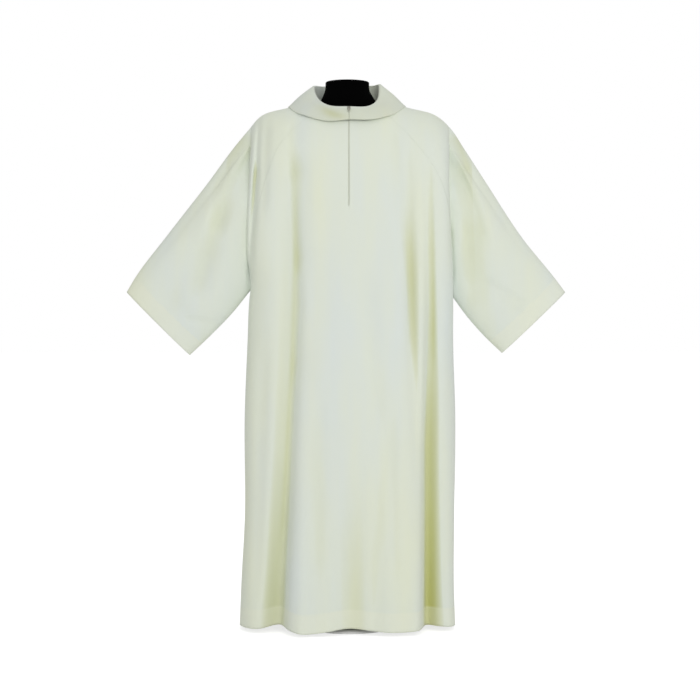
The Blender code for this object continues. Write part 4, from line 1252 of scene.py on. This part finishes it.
def form_rings():
    """Level rings from the torso's bottom to the neck's top. Each radius is the rounded maximum of the
    torso's oval and the neck's."""
    bearing = np.linspace(0, 2 * math.pi, FORM_STEPS, endpoint=False)[None]
    line_x, line_z = shoulder_line()
    tip = np.interp(SHOULDER_TIP, line_x, line_z)
    torso = np.linspace(TORSO_BOTTOM, ARMHOLE_HEIGHT, TORSO_RINGS)
    cap = tip - SHOULDER_CAP * np.linspace(1, 0, CAP_RINGS) ** CAP_ROUNDING
    ridge = np.interp(np.linspace(SHOULDER_TIP, line_x[0], RIDGE_RINGS)[1:], line_x, line_z)
    neck = np.linspace(line_z[0] + NECK_EDGE, NECK_TOP - NECK_EDGE, NECK_RINGS)
    z = np.concatenate([torso, cap, ridge, neck, [NECK_TOP]])[:, None]
    low = z <= ARMHOLE_HEIGHT
    share = np.clip((z - ARMHOLE_HEIGHT) / (tip - ARMHOLE_HEIGHT), 0, 1)
    widest = TORSO.read("half", ARMHOLE_HEIGHT)
    over = np.where(z <= tip, widest - (widest - SHOULDER_TIP) * share**3, np.interp(-z, -line_z, line_x))
    drop = np.clip((SHOULDER_HEIGHT - z) / CHEST_ARCH, 0, 1)
    rise = np.sqrt(1 - (1 - drop) ** 2)
    half = np.where(low, TORSO.read("half", z), over)
    front = np.where(low, TORSO.read("front", z), CHEST_DEEP * rise + FORM_CLEARANCE)
    back = np.where(low, TORSO.read("back", z), BACK_DEEP * rise + FORM_CLEARANCE)
    torso = oval_radius(half, np.where(np.cos(bearing) > 0, front, back), bearing)
    torso = np.where(z < line_z[0] + FORM_CLEARANCE, torso, 0)
    shrink = np.where(z == NECK_TOP, NECK_EDGE, 0)
    oval = oval_radius(NECK.read("half", z) - shrink, NECK.read("deep", z) - shrink, bearing) * ~low
    radius = smooth_max(torso, oval, FORM_BLEND * np.abs(np.cos(bearing)) * (z < line_z[0]))
    aside = NECK.read("aside", z) * ~low
    return np.stack([aside + radius * np.sin(bearing), -radius * np.cos(bearing), z + 0 * radius], -1)


# %% [markdown]
# ## Other finishes
#
# The form has a tight black jersey cover, the stand is enamelled, and the zip has a woven tape
# and an enamelled slider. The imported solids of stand, tape, slider and tab are good enough from
# close by, so they keep their shape and get a finish: two near colours, mixed by a fine noise.


# %% Jersey, enamel and zip
def black_jersey():
    """Nearly black, with a little lint and the bump of a tight knit."""
    finish = Finish("black jersey", Specular_IOR_Level=0.02)
    where = finish.node("TexCoord", {}, {}, 3)
    lint = finish.node("TexNoise", {}, {"Vector": where, "Scale": 60.0, "Detail": 4.0})
    finish.colour(finish.blend(lint, paint(1, 1, 1), paint(4, 4, 4)))
    finish.rough(0.80 + lint * 0.15)
    knit = finish.node("TexNoise", {}, {"Vector": where, "Scale": 1100.0, "Detail": 1.0})
    finish.bump(knit, 0.0002, 0.4)
    return finish.material


def plain_finish(name, low, high, roughness, scale):
    """Colour between `low` and `high` and roughness by the same noise."""
    finish = Finish(name)
    where = finish.node("TexCoord", {}, {}, 3)
    wear = finish.node("TexNoise", {}, {"Vector": where, "Scale": scale, "Detail": 3.0})
    finish.colour(finish.blend(wear, low, high))
    finish.rough(roughness + wear * 0.15)
    finish.bump(wear, 0.00005, 0.2)
    return finish.material


# %% The form
rings = form_rings()
faces = grid_faces(len(rings), FORM_STEPS, True).tolist()
bottom, top = np.arange(FORM_STEPS), np.arange(FORM_STEPS) + FORM_STEPS * (len(rings) - 1)
faces += [bottom.tolist(), top[::-1].tolist()]
form = new_mesh("form_cover", rings, faces, black_jersey())
change_mesh(form, turn_outwards)
form.data.set_sharp_from_angle(angle=math.radians(50))
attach(form, "robe")
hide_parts("dress_form")
print("form has", len(rings), "rings of", FORM_STEPS)

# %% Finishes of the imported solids
FINISHES = {
    "stand_pole": plain_finish("pale enamel", paint(222, 222, 220), paint(230, 230, 228), 0.30, 40.0),
    "stand_foot": plain_finish("pale enamel foot", paint(222, 222, 220), paint(230, 230, 228), 0.35, 40.0),
    "zip_tape": plain_finish("zip tape", paint(223, 219, 186), paint(229, 226, 196), 0.75, 600.0),
    "zip_slider": plain_finish("zip enamel", paint(120, 119, 108), paint(150, 149, 136), 0.35, 300.0),
    "zip_pull": plain_finish("pull enamel", paint(150, 149, 136), paint(176, 175, 160), 0.35, 300.0),
}
for name, material in FINISHES.items():
    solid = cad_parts[name]
    for slot in solid.material_slots:
        slot.material = material
print("finishes for", ", ".join(FINISHES))

# %% [markdown]
# ## What each sheet was cut to
#
# Every sheet's UV map called cut holds the size of the cloth that was cut for it, before it was
# sewn and hung: the length of its rows and columns round every fold, all round on a sleeve, without
# the part of a hem that is turned under. The areas are those printed above.

# %% [markdown]
# ## Floor and light
#
# The robe stands before a white backdrop, as in a shop's studio, and the floor fades into it. A
# wide soft light from the front shows the cloth evenly, a weak one on each side rounds the folds,
# one from above whitens the floor, and one from behind lights the edges of the sleeves. Smaller
# lamps would cut the soft folds into hard stripes. The floor glows more for the camera than for
# the cloth, so it looks white and throws little light up the hem.


# %% Floor and light
FLOOR_PAINT = (0.60, 0.60, 0.60, 1.0)
FLOOR_GLOW = 0.72
FLOOR_LIGHT = 0.30
FLOOR_REACH = 400.0
FLOOR_DROP = -0.0006
WORLD_SEEN, WORLD_LIGHT = 1.0, 0.50
ROBE_MIDDLE = (0, 0, 0.8)
LIGHTS = (
    ("front light", (0.8, -4.5, 2.2), 2.6, 70),
    ("left light", (-4.0, -1.5, 1.8), 2.0, 3),
    ("right light", (4.0, -1.5, 1.8), 2.0, 5),
    ("back light", (0, 4.5, 2.2), 3.0, 26),
    ("top light", (0, 0.5, 4.5), 3.5, 22),
)


def stage_floor():
    """A square of floor just under the foot, so that the two don't lie in one plane."""
    finish = Finish("pale floor", Base_Color=FLOOR_PAINT, Roughness=0.9, Specular_IOR_Level=0.0,
                    Emission_Strength=1.0)
    glow = finish.blend(finish.node("LightPath"), (*[FLOOR_LIGHT] * 3, 1), (*[FLOOR_GLOW] * 3, 1))
    finish.feed(finish.shader.inputs["Emission Color"], glow)
    corners = np.array(((-1, -1), (1, -1), (1, 1), (-1, 1)), float) * FLOOR_REACH
    corners = np.pad(corners, ((0, 0), (0, 1)), constant_values=FLOOR_DROP)
    floor = new_mesh("floor", corners, [(0, 1, 2, 3)], finish.material)


def soft_light(name, place, size, power):
    """A square light that looks at the robe's middle."""
    lamp = bpy.data.lights.new(name, "AREA")
    lamp.size = size
    lamp.energy = power
    obj = bpy.data.objects.new(name, lamp)
    obj.location = place
    x, y, z = np.subtract(place, ROBE_MIDDLE)
    obj.rotation_euler = (math.atan2(math.hypot(x, y), z), 0, math.atan2(x, -y))
    bpy.context.scene.collection.objects.link(obj)


def white_surround():
    """White behind the robe for the camera, and a softer white that lights it."""
    world = bpy.data.worlds.new("surround")
    bpy.context.scene.world = world
    world.use_nodes = True
    nodes, links = world.node_tree.nodes, world.node_tree.links
    path = nodes.new("ShaderNodeLightPath")
    share = nodes.new("ShaderNodeMapRange")
    share.inputs["To Min"].default_value = WORLD_LIGHT
    share.inputs["To Max"].default_value = WORLD_SEEN
    links.new(path.outputs["Is Camera Ray"], share.inputs["Value"])
    links.new(share.outputs["Result"], nodes["Background"].inputs["Strength"])
    nodes["Background"].inputs["Color"].default_value = (1, 1, 1, 1)


stage_floor()
white_surround()
for light in LIGHTS:
    soft_light(*light)
bpy.context.scene.view_settings.view_transform = "Standard"
